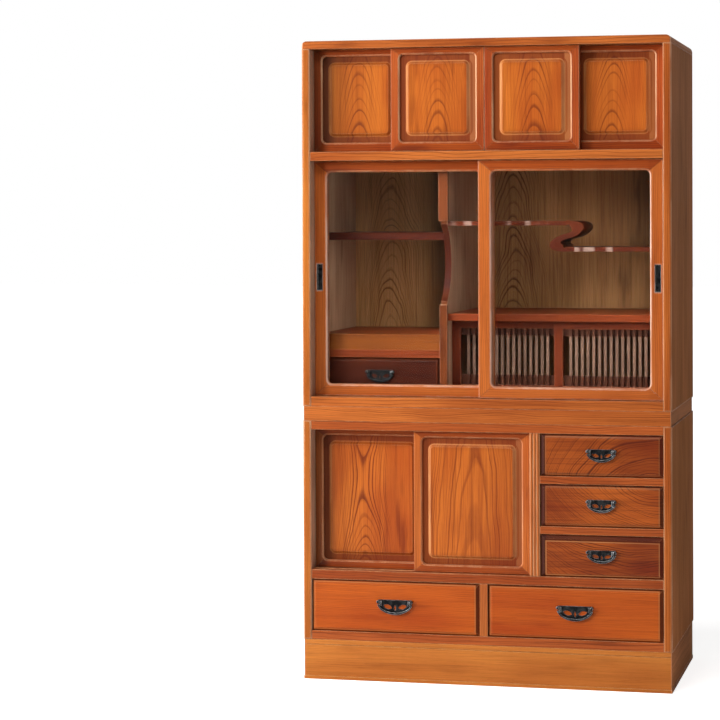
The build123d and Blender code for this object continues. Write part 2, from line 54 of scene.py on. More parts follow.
def linear(code: str) -> tuple[float, float, float, float]:
    """A screen colour written as six hex digits, such as "c8702f", as the renderer's linear colour."""
    parts = [int(code[i:i + 2], 16) / 255 for i in (0, 2, 4)]
    return (*[c / 12.92 if c <= 0.04045 else ((c + 0.055) / 1.055) ** 2.4 for c in parts], 1.0)


# ---------------------------------------------------------------- shader writing
class Graph:
    """Writes the shader nodes of one tree."""

    def __init__(self, tree: bpy.types.NodeTree) -> None:
        """Start writing in a tree."""
        self.tree = tree

    def feed(self, socket: Socket, value: Any) -> None:
        """Link a socket to another one, or set its own value.

        Args:
            socket: the input.
            value: an output socket, or a plain value.
        """
        if isinstance(value, Socket):
            self.tree.links.new(value, socket)
        else:
            socket.default_value = value

    def node(self, kind: str, values: dict[Any, Any] | None = None, **settings: Any) -> bpy.types.Node:
        """Add a node.

        Args:
            kind: the node's type, without the leading "ShaderNode".
            values: its inputs, by name or number.
            settings: its own properties.

        Returns:
            The node.
        """
        made = self.tree.nodes.new("ShaderNode" + kind)
        made.location = (220 * (len(self.tree.nodes) % 12), -260 * (len(self.tree.nodes) // 12))
        for key, value in settings.items():
            setattr(made, key, value)
        self.fill(made, values or {})
        return made

    def fill(self, node: bpy.types.Node, values: dict[Any, Any]) -> None:
        """Feed a node's inputs, given by name or number."""
        for key, value in values.items():
            self.feed(node.inputs[key], value)

    def axes(self, place: Socket) -> tuple[Socket, ...]:
        """Split a place and return its three parts."""
        return tuple(self.node("SeparateXYZ", {0: place}).outputs)

    def math(self, operation: str, *values: Any) -> Socket:
        """Do one step of arithmetic with the Math node's operation and return the result."""
        return self.node("Math", dict(enumerate(values)), operation=operation).outputs[0]

    def times(self, *values: Any) -> Socket:
        """Multiply values with each other and return the product."""
        return reduce(partial(self.math, "MULTIPLY"), values)

    def plus(self, *values: Any) -> Socket:
        """Add values up and return the sum."""
        return reduce(partial(self.math, "ADD"), values)

    def vector(self, operation: str, *values: Any) -> Socket:
        """Take one step of vector arithmetic and return the resulting vector."""
        return self.node("VectorMath", dict(enumerate(values)), operation=operation).outputs[0]

    def noise(self, place: Socket, stretch: Sequence[float], detail: float = 2.0,
              rough: float = 0.5) -> Socket:
        """Read soft noise of about 0 to 1, stretched to so many cycles per metre along each axis."""
        spread = self.vector("MULTIPLY", place, tuple(stretch))
        return self.node("TexNoise", {"Vector": spread, "Scale": 1.0, "Detail": detail,
                                      "Roughness": rough}).outputs[0]

    def span(self, value: Any, low: float, high: float, start: Any = 0.0, end: Any = 1.0) -> Socket:
        """Step a value smoothly from start, which it has up to low, to end, which it has from high on."""
        values = {0: value, 1: low, 2: high, 3: start, 4: end}
        return self.node("MapRange", values, interpolation_type="SMOOTHSTEP").outputs[0]

    def mix(self, share: Any, first: Any, second: Any, mode: str = "MIX") -> Socket:
        """Lay the second colour over the first by a share, in a mode, and return the result."""
        return self.node("Mix", {0: share, 6: first, 7: second}, data_type="RGBA", blend_type=mode).outputs[2]

    def blend(self, share: Any, first: Any, second: Any) -> Socket:
        """Mix two numbers by a share and return the result."""
        return self.node("Mix", {0: share, 2: first, 3: second}, data_type="FLOAT").outputs[0]


class Group:
    """A shader group with named inputs and outputs, made once and placed in every material that uses it."""

    name = "group"
    inputs: tuple[tuple[str, str, Any], ...] = ()
    outputs: tuple[tuple[str, str], ...] = ()
    trees: dict[str, bpy.types.NodeTree] = {}

    def write(self, graph: Graph, given: dict[str, Socket]) -> dict[str, Any]:
        """Write the group's nodes.

        Args:
            graph: the group's own tree.
            given: its inputs by name.

        Returns:
            Its outputs by name.
        """
        raise NotImplementedError

    def tree(self) -> bpy.types.NodeTree:
        """Make the group's tree the first time it is asked for, and return it."""
        if self.name not in Group.trees:
            tree = bpy.data.node_groups.new(self.name, "ShaderNodeTree")
            for name, kind, value in self.inputs:
                socket = tree.interface.new_socket(name, in_out="INPUT", socket_type="NodeSocket" + kind)
                if value is not None:
                    socket.default_value = value
            for name, kind in self.outputs:
                tree.interface.new_socket(name, in_out="OUTPUT", socket_type="NodeSocket" + kind)
            graph = Graph(tree)
            source = tree.nodes.new("NodeGroupInput")
            results = self.write(graph, {name: source.outputs[name] for name, _, _ in self.inputs})
            sink = tree.nodes.new("NodeGroupOutput")
            for name, _ in self.outputs:
                graph.feed(sink.inputs[name], results[name])
            Group.trees[self.name] = tree
        return Group.trees[self.name]

    def place(self, graph: Graph, **values: Any) -> dict[str, Socket]:
        """Put the group in a material.

        Args:
            graph: the material's tree.
            values: the group's inputs, with _ for a blank.

        Returns:
            Its outputs by name.
        """
        made = graph.node("Group")
        made.node_tree = self.tree()
        for key, value in values.items():
            graph.feed(made.inputs[key.replace("_", " ")], value)
        return {name: made.outputs[name] for name, _ in self.outputs}


class ZelkovaGrain(Group):
    """Growth rings of a log, cut by a board that leans and bows against them.

    Over the heart the rings close in nested arches, whose tips follow the board's lean and bow. Beside it
    they run as lines that come closer together.
    """

    name = "zelkova_grain"
    inputs = (("Place", "Vector", None), ("Seed", "Float", 0.0), ("Rings", "Float", 90.0),
              ("Tip", "Float", 0.006), ("Lean", "Float", 0.3), ("Bow", "Float", 0.0), ("Flare", "Float", 4.0),
              ("Wander", "Float", 1.0), ("Column", "Float", 0.08), ("Contrast", "Float", 0.6),
              ("Pale", "Color", None), ("Ring", "Color", None), ("Band", "Color", None))
    outputs = (("Color", "Color"), ("Relief", "Float"), ("Dull", "Float"))

    def write(self, graph: Graph, given: dict[str, Socket]) -> dict[str, Any]:
        """Write the group's nodes.

        Args:
            graph: the group's own tree.
            given: its inputs by name.

        Returns:
            The board's colour, the height of its surface and how dull it is.
        """
        place = given["Place"]
        x, through, along = graph.axes(place)
        shift = graph.node("VectorMath", {0: (3.1, 7.7, 5.3), 3: given["Seed"]}, operation="SCALE").outputs[0]
        spot = graph.vector("ADD", place, shift)

        def sway(stretch: tuple[float, float, float], reach: float) -> Socket:
            """Noise of a few layers about zero, as far as the board's rings wander."""
            return graph.times(graph.math("MULTIPLY_ADD", graph.noise(spot, stretch), 2 * reach, -reach),
                               given["Wander"])

        def patches(stretch: tuple[float, float, float], detail: float, low: float, high: float) -> Socket:
            """Noise that is cut into patches with soft edges."""
            return graph.span(graph.noise(spot, stretch, detail), low, high)

        across = graph.plus(x, sway((1.6, 1.6, 2.2), 0.045), sway((24.0, 12.0, 9.0), 0.0045))
        square = graph.times(across, across)
        arch = graph.math("SQRT", graph.math("MULTIPLY_ADD", given["Tip"], given["Tip"], square))
        figure = graph.math("MULTIPLY_ADD", square, given["Flare"], arch)
        ripple = graph.plus(sway((5.0, 3.0, 4.0), 0.022), sway((60.0, 30.0, 14.0), 0.0012))
        level = graph.plus(figure, graph.times(through, 0.6), graph.times(along, given["Lean"]),
                           graph.times(along, along, given["Bow"]), ripple)
        lane = graph.node("CombineXYZ", {0: level, 1: given["Seed"]}).outputs[0]
        uneven = graph.math("MULTIPLY_ADD", graph.noise(lane, (34.0, 1.0, 1.0)), 2.6, -1.3)
        years = graph.math("MULTIPLY_ADD", level, given["Rings"], uneven)
        phase = graph.math("FRACT", years)
        year = graph.node("CombineXYZ", {0: graph.math("FLOOR", years)}).outputs[0]
        strength = graph.span(graph.noise(year, (0.37, 1.0, 1.0), 0.0), 0.34, 0.62, 0.35, 1.0)
        reach = graph.math("MULTIPLY_ADD", strength, 0.20, 0.14)
        line = graph.math("MAXIMUM", graph.span(phase, 0.04, reach, 1.0, 0.0), graph.span(phase, 0.90, 1.0))
        weight = graph.span(graph.noise(spot, (6.0, 6.0, 2.0)), 0.30, 0.70, 0.70, 1.0)
        aside = graph.span(graph.math("ABSOLUTE", across), given["Column"], graph.times(given["Column"], 2.2),
                           1.0, 0.30)
        early = graph.times(line, strength, weight, aside)

        fibre = graph.noise(spot, (430.0, 430.0, 6.0), 3.0, 0.6)
        pores = graph.times(patches((1400.0, 1400.0, 48.0), 1.0, 0.55, 0.70),
                            graph.math("MULTIPLY_ADD", early, 0.8, 0.2))
        bands = patches((15.0, 15.0, 1.2), 3.0, 0.34, 0.66)
        cloud = patches((5.0, 5.0, 3.0), 2.0, 0.34, 0.66)
        flame = graph.math("MAXIMUM", graph.times(patches((34.0, 34.0, 5.0), 2.0, 0.58, 0.74), cloud),
                           graph.times(patches((120.0, 120.0, 2.5), 3.0, 0.50, 0.72), 0.5))

        colour = graph.mix(graph.math("MULTIPLY_ADD", bands, 0.5, graph.times(cloud, 0.5)), given["Pale"],
                           given["Band"])
        for share in (graph.times(flame, 0.55), graph.times(early, given["Contrast"]),
                      graph.span(fibre, 0.42, 0.72, 0.0, 0.42)):
            colour = graph.mix(share, colour, given["Ring"])
        colour = graph.mix(graph.times(pores, 0.5), colour, given["Ring"], "MULTIPLY")
        relief = graph.math("SUBTRACT", graph.math("MULTIPLY_ADD", early, -0.30, 1.0),
                            graph.math("MULTIPLY_ADD", pores, 0.45, graph.times(fibre, 0.12)))
        dull = graph.math("MULTIPLY_ADD", pores, 0.14, graph.times(early, 0.05))
        return {"Color": colour, "Relief": relief, "Dull": dull}


class MitredFrame(Group):
    """Tells the stiles of a mitred frame from its rails, and marks the joints between them."""

    name = "mitred_frame"
    inputs = (("Place", "Vector", None), ("Left", "Float", 0.0), ("Right", "Float", 1.0),
              ("Foot", "Float", 0.0), ("Head", "Float", 1.0), ("Stile", "Float", 0.03),
              ("Top", "Float", 0.03), ("Bottom", "Float", 0.03))
    outputs = (("Rail", "Float"), ("Joint", "Float"))

    def write(self, graph: Graph, given: dict[str, Socket]) -> dict[str, Any]:
        """Write the group's nodes.

        Args:
            graph: the group's own tree.
            given: its inputs by name.

        Returns:
            A mask of the two rails and a mask of the mitre lines.
        """
        x, _, z = graph.axes(given["Place"])

        def inward(near: Any, far: Any, width: str) -> Socket:
            """How far a place lies in from an edge, as a share of the member there."""
            return graph.math("DIVIDE", graph.math("SUBTRACT", near, far), given[width])

        beside = graph.math("MINIMUM", inward(x, given["Left"], "Stile"), inward(given["Right"], x, "Stile"))
        over, under = inward(given["Head"], z, "Top"), inward(z, given["Foot"], "Bottom")
        level = graph.math("MINIMUM", over, under)
        rail = graph.math("LESS_THAN", level, beside)
        apart = graph.math("ABSOLUTE", graph.math("SUBTRACT", level, beside))
        return {"Rail": rail, "Joint": graph.span(apart, 0.012, 0.045, 1.0, 0.0)}


class SoftArris(Group):
    """Rounds the arrises of a piece in its shading and tells where they are, broken up in patches.

    The arris mask is partly scuffing and partly painted highlight, weaker on arrises that face left. A face
    on a slanted plane between the front and a side, such as a chamfer, is told apart as well: it takes a
    painted highlight, lighter than the rest.
    """

    name = "soft_arris"
    inputs = (("Place", "Vector", None), ("Facing", "Vector", None), ("Radius", "Float", 0.0015))
    outputs = (("Normal", "Vector"), ("Wear", "Float"), ("Slant", "Float"))

    def write(self, graph: Graph, given: dict[str, Socket]) -> dict[str, Any]:
        """Write the group's nodes.

        Args:
            graph: the group's own tree.
            given: its inputs by name.

        Returns:
            The softened normal, an arris mask for scuffing and painted highlight, and a mask of slanted
            faces for painted highlight.
        """
        soft = graph.node("Bevel", {"Radius": given["Radius"]}, samples=4).outputs[0]
        true = graph.node("NewGeometry").outputs["True Normal"]
        turn = graph.node("VectorMath", {0: soft, 1: true}, operation="DOT_PRODUCT").outputs["Value"]
        # Painted highlight: arrises that face right are lightened fully, those that face left only in part.
        right_facing_highlight = graph.span(graph.axes(soft)[X], -0.5, 0.3, 0.35, 1.0)
        arris = graph.times(graph.span(turn, 0.90, 0.995, 1.0, 0.0), right_facing_highlight)
        patches = graph.span(graph.noise(given["Place"], (38.0, 38.0, 9.0), 3.0), 0.36, 0.62, 0.45, 1.0)
        _, y, z = graph.axes(given["Facing"])
        front = graph.times(y, -1.0)
        # Painted highlight on faces turned partway from the front, weaker on those that face up or down.
        slant = graph.times(graph.span(front, 0.45, 0.58), graph.span(front, 0.78, 0.92, 1.0, 0.0),
                            graph.span(graph.math("ABSOLUTE", z), 0.15, 0.60, 1.0, 0.25))
        return {"Normal": soft, "Wear": graph.times(arris, patches), "Slant": graph.times(slant, patches)}


class FieldBorder(Group):
    """How far a place lies outside a rounded rectangle, below zero within it."""

    name = "field_border"
    inputs = (("Place", "Vector", None), ("Middle X", "Float", 0.0), ("Middle Z", "Float", 0.0),
              ("Half X", "Float", 0.1), ("Half Z", "Float", 0.1), ("Corner", "Float", 0.0))
    outputs = (("Distance", "Float"),)

    def write(self, graph: Graph, given: dict[str, Socket]) -> dict[str, Any]:
        """Write the group's nodes.

        Args:
            graph: the group's own tree.
            given: its inputs by name.

        Returns:
            The distance in metres.
        """
        axes = graph.axes(given["Place"])
        past = []
        for axis, letter in ((X, "X"), (Z, "Z")):
            away = graph.math("ABSOLUTE", graph.math("SUBTRACT", axes[axis], given[f"Middle {letter}"]))
            past.append(graph.plus(graph.math("SUBTRACT", away, given[f"Half {letter}"]), given["Corner"]))
        squares = [graph.math("POWER", graph.math("MAXIMUM", value, 0.0), 2.0) for value in past]
        outer = graph.math("SQRT", graph.plus(*squares))
        inner = graph.math("MINIMUM", graph.math("MAXIMUM", *past), 0.0)
        return {"Distance": graph.math("SUBTRACT", graph.plus(outer, inner), given["Corner"])}


class HammeredIron(Group):
    """The uneven skin of blackened iron: hammer marks, soot, and lighter edges, partly uncoated metal and
    partly painted glint.
    """

    name = "hammered_iron"
    inputs = (("Place", "Vector", None), ("Skin", "Color", None), ("Bare", "Color", None),
              ("Wear", "Float", 0.0))
    outputs = (("Color", "Color"), ("Relief", "Float"), ("Roughness", "Float"), ("Metal", "Float"))

    def write(self, graph: Graph, given: dict[str, Socket]) -> dict[str, Any]:
        """Write the group's nodes.

        Args:
            graph: the group's own tree.
            given: its inputs by name.

        Returns:
            The skin's colour, the height of its surface, its roughness and how metallic it is.
        """
        marks = graph.noise(given["Place"], (260.0, 260.0, 260.0), 2.0)
        grit = graph.noise(given["Place"], (1900.0, 1900.0, 1900.0), 2.0)
        soot = graph.span(graph.noise(given["Place"], (90.0, 90.0, 90.0), 3.0), 0.35, 0.7)
        # The lighter edges are partly bare iron and partly painted glint; they are made less metallic, so
        # their pale colour shows.
        share = graph.math("MULTIPLY_ADD", soot, 0.10, graph.times(given["Wear"], 0.85))
        colour = graph.mix(share, given["Skin"], given["Bare"])
        relief = graph.math("MULTIPLY_ADD", grit, 0.2, marks)
        roughness = graph.math("MULTIPLY_ADD", soot, -0.12, graph.math("MULTIPLY_ADD", grit, 0.16, 0.32))
        metal = graph.math("MULTIPLY_ADD", given["Wear"], -0.55, 0.85)
        return {"Color": colour, "Relief": relief, "Roughness": roughness, "Metal": metal}


# ---------------------------------------------------------------- finishes
class Cut(Enum):
    """How a board is cut: the axes across its face, through it and along its fibres."""

    UPRIGHT = (X, Y, Z)
    LEVEL = (Z, Y, X)
    UPRIGHT_SIDE = (Y, X, Z)
    DEEP_SIDE = (Z, X, Y)
    SHELF = (Y, Z, X)


@dataclass(frozen=True)
class Tone:
    """The colours and gloss of one stain and lacquer."""

    pale: str
    ring: str
    band: str
    # The colour of scuffed arrises, and of the painted highlights on arrises, slanted faces and channels.
    worn: str
    roughness: float = 0.34
    coat: float = 0.14
    gloss: float = 0.20
    contrast: float = 0.55


FRAME_TONE = Tone("ba5d28", "66250e", "983c18", "f0c89c", 0.36, 0.08, 0.12, 0.75)
RAIL_TONE = Tone("a94e18", "571c0d", "8e3810", "ecb88a", 0.36, 0.08, 0.12, 0.75)
GLAZED_TONE = Tone("c46a2b", "7a3513", "b05622", "f8dcc8", 0.36, 0.10, 0.14, 0.65)
PANEL_TONE = Tone("ca7026", "6e2a0c", "ab4f19", "d99c66", 0.36, 0.08, 0.12, 0.80)
DRAWER_TONE = Tone("bb5e20", "36100a", "7c2a0d", "d9965c", 0.36, 0.08, 0.12, 0.95)
WIDE_TONE = Tone("c25d1a", "7a2d0b", "a24010", "dc9858", 0.36, 0.08, 0.12, 0.50)
CASE_TONE = Tone("c26b2f", "60270e", "a04e20", "e2b084", 0.36, 0.10, 0.14, 0.78)
EDGE_TONE = Tone("c0712e", "7e4319", "a65824", "ecbd96", 0.36, 0.10, 0.14, 0.50)
BEAM_TONE = Tone("b65c29", "561f0a", "923f16", "eab884", 0.36, 0.08, 0.12, 0.80)
PLINTH_TONE = Tone("cb7c35", "8a4c1c", "b06226", "eab273", contrast=0.50)
SIDE_TONE = Tone("cf8350", "7a4626", "b2703e", "f6d2bc", 0.62, 0.0, 0.02, 0.6)
INSIDE_TONE = Tone("e4c0a0", "826250", "c09a80", "ecd0b4", 0.60, 0.0, 0.06, 0.5)
BACK_TONE = Tone("cb9460", "4a2c18", "a8744a", "d8ab7c", 0.60, 0.0, 0.06, 0.8)
RED_TONE = Tone("7a341c", "42140b", "62240f", "c98a66", 0.34, 0.06, 0.08, 0.5)
DECK_TONE = Tone("8e3c1c", "4a190b", "6e2c12", "c07850", 0.36, 0.06, 0.08, 0.5)
# A pale pink for the painted highlights on the staggered shelf's front edge.
PAINTED_GLINT_TONE = Tone("a5867a", "7a5648", "957468", "c0a094", 0.35, 0.05, 0.15, 0.3)
SHELF_EDGE_TONE = Tone("60250f", "3f160a", "4e1b0d", "a85a34", 0.40, 0.04, 0.06, 0.5)
SHELF_TONE = Tone("4d1c0d", "2b0d0a", "3b130c", "8a4422", 0.40, 0.04, 0.06, 0.5)
POST_TONE = Tone("80401e", "451a0c", "642f14", "d8ab8c", 0.34, 0.08, 0.10, 0.5)
CHEST_TONE = Tone("50200f", "1e0a08", "38130b", "9a4a24", 0.40, 0.04, 0.05, 0.8)
APRON_TONE = Tone("7f4218", "4c200d", "6a3211", "b06c35", 0.32, 0.12, 0.15, 0.5)
SLAT_END_TONE = Tone("5a3224", "3c1d14", "4a281c", "7a4a36", 0.45, 0.0, 0.2, 0.4)
# The slats' middle band: a painted reflection, lighter than their ends.
SLAT_REFLECTION_TONE = Tone("8c6a5a", "4e3a30", "745548", "b08c7c", 0.45, 0.0, 0.2, 0.5)
RAW_TONE = Tone("d9c19a", "b5946a", "ccae82", "e2cfae", 0.7, 0.0, 0.1, 0.4)

# A column so wide that the rings keep their strength beside the heart.
NO_COLUMN = 9.0
HEART_AWAY = 0.35


@dataclass(frozen=True)
class Figure:
    """How a board's rings run: how many a metre has, their arches over the heart, and how far they wander."""

    rings: float = 90.0
    tip: float = 0.006
    lean: float = 0.0
    bow: float = 0.0
    flare: float = 4.0
    wander: float = 1.0
    column: float = 0.08


SIDE_FIGURE = Figure(lean=0.06, wander=0.7)
SMALL_DOOR_FIGURE = Figure(108, 0.055, 0.25, 0.0, 6.0, 0.4, 0.026)
WIDE_FIGURE = Figure(230, 0.05, 0.02, 0.0, 0.0, 0.35, NO_COLUMN)


@dataclass(frozen=True)
class Board:
    """One board: its cut and tone, where its heart lies, how its rings run and where its grain is read.

    The heart is given across the face, through the board and along its fibres, in the piece's own frame.
    """

    cut: Cut
    tone: Tone
    heart: tuple[float, float, float]
    figure: Figure
    seed: float

    def grow(self, graph: Graph, place: Socket) -> dict[str, Socket]:
        """Write the board's grain.

        Args:
            graph: the material's tree.
            place: the piece's own coordinates.

        Returns:
            The grain group's outputs.
        """
        axes = graph.axes(place)
        turned = graph.node("CombineXYZ", {i: axes[axis] for i, axis in enumerate(self.cut.value)}).outputs[0]
        figure = {key.capitalize(): value for key, value in vars(self.figure).items()}
        stain = {key.capitalize(): linear(getattr(self.tone, key)) for key in ("pale", "ring", "band")}
        return ZelkovaGrain().place(graph, Place=graph.vector("SUBTRACT", turned, self.heart), Seed=self.seed,
                                    Contrast=self.tone.contrast, **figure, **stain)


def straight(cut: Cut, tone: Tone, corner: Vector, seed: float, rings: float = 190.0) -> Board:
    """A board cut far from the heart, with straight lines along it.

    Args:
        cut: how it is cut.
        tone: its stain.
        corner: a corner where an edge of the board meets its show face.
        seed: where its grain is read.
        rings: how many rings it has per metre.

    Returns:
        The board.
    """
    across, through, _ = cut.value
    return Board(cut, tone, (corner[across] - HEART_AWAY, corner[through], 0.0),
                 Figure(rings, flare=0.0, wander=0.3, column=NO_COLUMN), seed)


def flat_sawn(cut: Cut, tone: Tone, node: str, offset: tuple[float, float], figure: Figure,
              seed: float) -> Board:
    """A board whose heart lies near the middle of a node's front.

    Args:
        cut: how it is cut.
        tone: its stain.
        node: the node's name.
        offset: how far its heart lies from the middle, across the fibres and along them.
        figure: how its rings run.
        seed: where its grain is read.

    Returns:
        The board.
    """
    low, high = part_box(node)
    across, _, along = cut.value
    centre = (low + high) / 2
    return Board(cut, tone, (centre[across] + offset[0], low.y, centre[along] + offset[1]), figure, seed)


class Mask(Protocol):
    """A part of a piece, told from the rest of it."""

    def mask(self, graph: Graph, place: Socket) -> Socket:
        """Write the mask in a material's tree for a place, and return it."""


@dataclass(frozen=True)
class Beyond:
    """The part of a piece that lies past a limit along one axis."""

    axis: int
    limit: float
    low_side: bool = False

    def mask(self, graph: Graph, place: Socket) -> Socket:
        """Write the mask in a material's tree for a place, and return it."""
        test = "LESS_THAN" if self.low_side else "GREATER_THAN"
        return graph.math(test, graph.axes(place)[self.axis], self.limit)


@dataclass(frozen=True)
class Both:
    """Where two masks meet."""

    first: Mask
    second: Mask

    def mask(self, graph: Graph, place: Socket) -> Socket:
        """Write the mask in a material's tree for a place, and return it."""
        return graph.times(self.first.mask(graph, place), self.second.mask(graph, place))


@dataclass(frozen=True)
class Edges:
    """The faces of a board that don't look along its thickness."""

    axis: int

    def mask(self, graph: Graph, place: Socket) -> Socket:
        """Write the mask in a material's tree, whatever the place, and return it."""
        facing = graph.axes(graph.node("TexCoord").outputs["Normal"])[self.axis]
        return graph.math("LESS_THAN", graph.math("ABSOLUTE", facing), 0.5)


@dataclass(frozen=True)
class Patches:
    """Patches of painted highlight along the front edge of a piece."""

    scale: float = 24.0
    share: float = 0.9

    def mask(self, graph: Graph, place: Socket) -> Socket:
        """Write the mask in a material's tree for a place, and return it."""
        facing = graph.axes(graph.node("TexCoord").outputs["Normal"])[Y]
        patches = graph.span(graph.noise(place, (self.scale, 0.0, 3.0), 1.0), 0.50, 0.64, 0.0, self.share)
        return graph.times(patches, graph.math("LESS_THAN", facing, -0.95))


@dataclass(frozen=True)
class Rails:
    """The rails of a mitred frame, within its outer edges and member widths."""

    left: float
    right: float
    foot: float
    head: float
    stile: float
    top: float
    bottom: float

    def place(self, graph: Graph, place: Socket) -> dict[str, Socket]:
        """Put the frame group in a material's tree for a place, and return its outputs."""
        return MitredFrame().place(graph, Place=place,
                                   **{key.capitalize(): value for key, value in vars(self).items()})

    def mask(self, graph: Graph, place: Socket) -> Socket:
        """Write the mask of the rails in a material's tree for a place, and return it."""
        return self.place(graph, place)["Rail"]


@dataclass(frozen=True)
class Inside:
    """The part of a piece within the opening of a frame."""

    rails: Rails
    play: float = 0.0005

    def mask(self, graph: Graph, place: Socket) -> Socket:
        """Write the mask.

        Args:
            graph: the material's tree.
            place: the piece's own coordinates.

        Returns:
            The mask.
        """
        x, _, z = graph.axes(place)
        inner = self.rails.stile + self.play
        spans = ((x, self.rails.left + inner, self.rails.right - inner),
                 (z, self.rails.foot + self.rails.bottom, self.rails.head - self.rails.top))
        return graph.times(*(graph.math("COMPARE", value, (low + high) / 2, (high - low) / 2)
                             for value, low, high in spans))


@dataclass(frozen=True)
class Border:
    """The channel round a raised field, darkened by stain and painted shade.

    Its painted shade is deepest on the left, a painted highlight lightens its right side, and a light line
    round the field is partly scuffing and partly painted highlight.
    """

    low: tuple[float, float]
    high: tuple[float, float]
    corner: float = 0.0
    # stain, depth and left darken the channel, partly stain and partly painted shade; left is the depth at
    # its left end. line and right are painted highlight, mixed with scuffing on the line. gather darkens the
    # field just inside its edge.
    stain: str = "62220e"
    depth: float = 0.7
    left: float = 0.72
    line: float = 0.4
    right: float = 0.2
    gather: float = 0.022

    def lay(self, graph: Graph, place: Socket, colour: Socket, worn: Any) -> tuple[Socket, Socket]:
        """Darken the channel with stain and painted shade, and lighten its right side and the line with
        painted highlight.

        Args:
            graph: the material's tree.
            place: the piece's own coordinates.
            colour: the wood under the stain.
            worn: the colour of the line and of the painted highlight on the right.

        Returns:
            The stained colour and a mask of the channel.
        """
        half_x, half_z = ((high - low) / 2 for low, high in zip(self.low, self.high))
        middle_x, middle_z = ((high + low) / 2 for low, high in zip(self.low, self.high))
        distance = FieldBorder().place(graph, Place=place, Middle_X=middle_x, Middle_Z=middle_z,
                                       Half_X=half_x, Half_Z=half_z, Corner=self.corner)["Distance"]
        outside = graph.span(distance, -0.0005, 0.0025)
        across = graph.axes(place)[X]
        side = graph.span(across, self.high[0] - 0.001, self.high[0])
        # Painted shade: the channel is darker at the left, where the stile's shadow falls, and lighter at the
        # right.
        depth = graph.span(across, self.low[0], self.low[0] + 0.002, self.left, self.depth)
        depth = graph.blend(side, depth, self.depth * (1.0 - self.right))
        # The field darkens just inside its edge: partly stain, partly painted shade.
        gathered = graph.times(graph.span(distance, -self.gather, 0.0), 0.30)
        stain = graph.math("MAXIMUM", graph.times(outside, depth), gathered)
        # Painted highlight on the right side of the channel, in two bands across its cove.
        cove = graph.math("MAXIMUM", graph.span(distance, 0.0030, 0.0055, 1.0, 0.0),
                          graph.span(distance, 0.0055, 0.0085))
        # A light line just inside the field's edge: partly scuffing, partly painted highlight.
        rubbed = graph.span(graph.math("ABSOLUTE", graph.plus(distance, 0.0012)), 0.0004, 0.0018, self.line,
                            0.0)
        pale = graph.math("MAXIMUM", graph.times(side, outside, cove, self.right), rubbed)
        return graph.mix(pale, graph.mix(stain, colour, linear(self.stain)), worn), outside


@dataclass(frozen=True)
class Shade:
    """Darkens a piece towards one side: as painted shade with the near-black colour, as a darker red tone
    with a red one.
    """

    axis: int
    clear: float
    dark: float
    depth: float = 0.6
    within: Mask | None = None
    colour: str = "1c100a"

    def lay(self, graph: Graph, place: Socket, colour: Socket) -> Socket:
        """Darken a colour towards the side.

        Args:
            graph: the material's tree.
            place: the piece's own coordinates.
            colour: the colour to darken.

        Returns:
            The darkened colour.
        """
        low, high = sorted((self.clear, self.dark))
        ends = (0.0, self.depth) if self.dark > self.clear else (self.depth, 0.0)
        share = graph.span(graph.axes(place)[self.axis], low, high, *ends)
        if self.within:
            share = graph.times(share, self.within.mask(graph, place))
        return graph.mix(share, colour, linear(self.colour))


class Finish:
    """What a piece is finished with."""

    def write(self, graph: Graph, shader: bpy.types.Node) -> None:
        """Feed a material's Principled shader, in the material's tree."""
        raise NotImplementedError

    def material(self, name: str) -> bpy.types.Material:
        """Make the finish's material.

        Args:
            name: the material's name.

        Returns:
            The material.
        """
        made = bpy.data.materials.new(name)
        made.use_nodes = True
        self.write(Graph(made.node_tree), made.node_tree.nodes["Principled BSDF"])
        return made


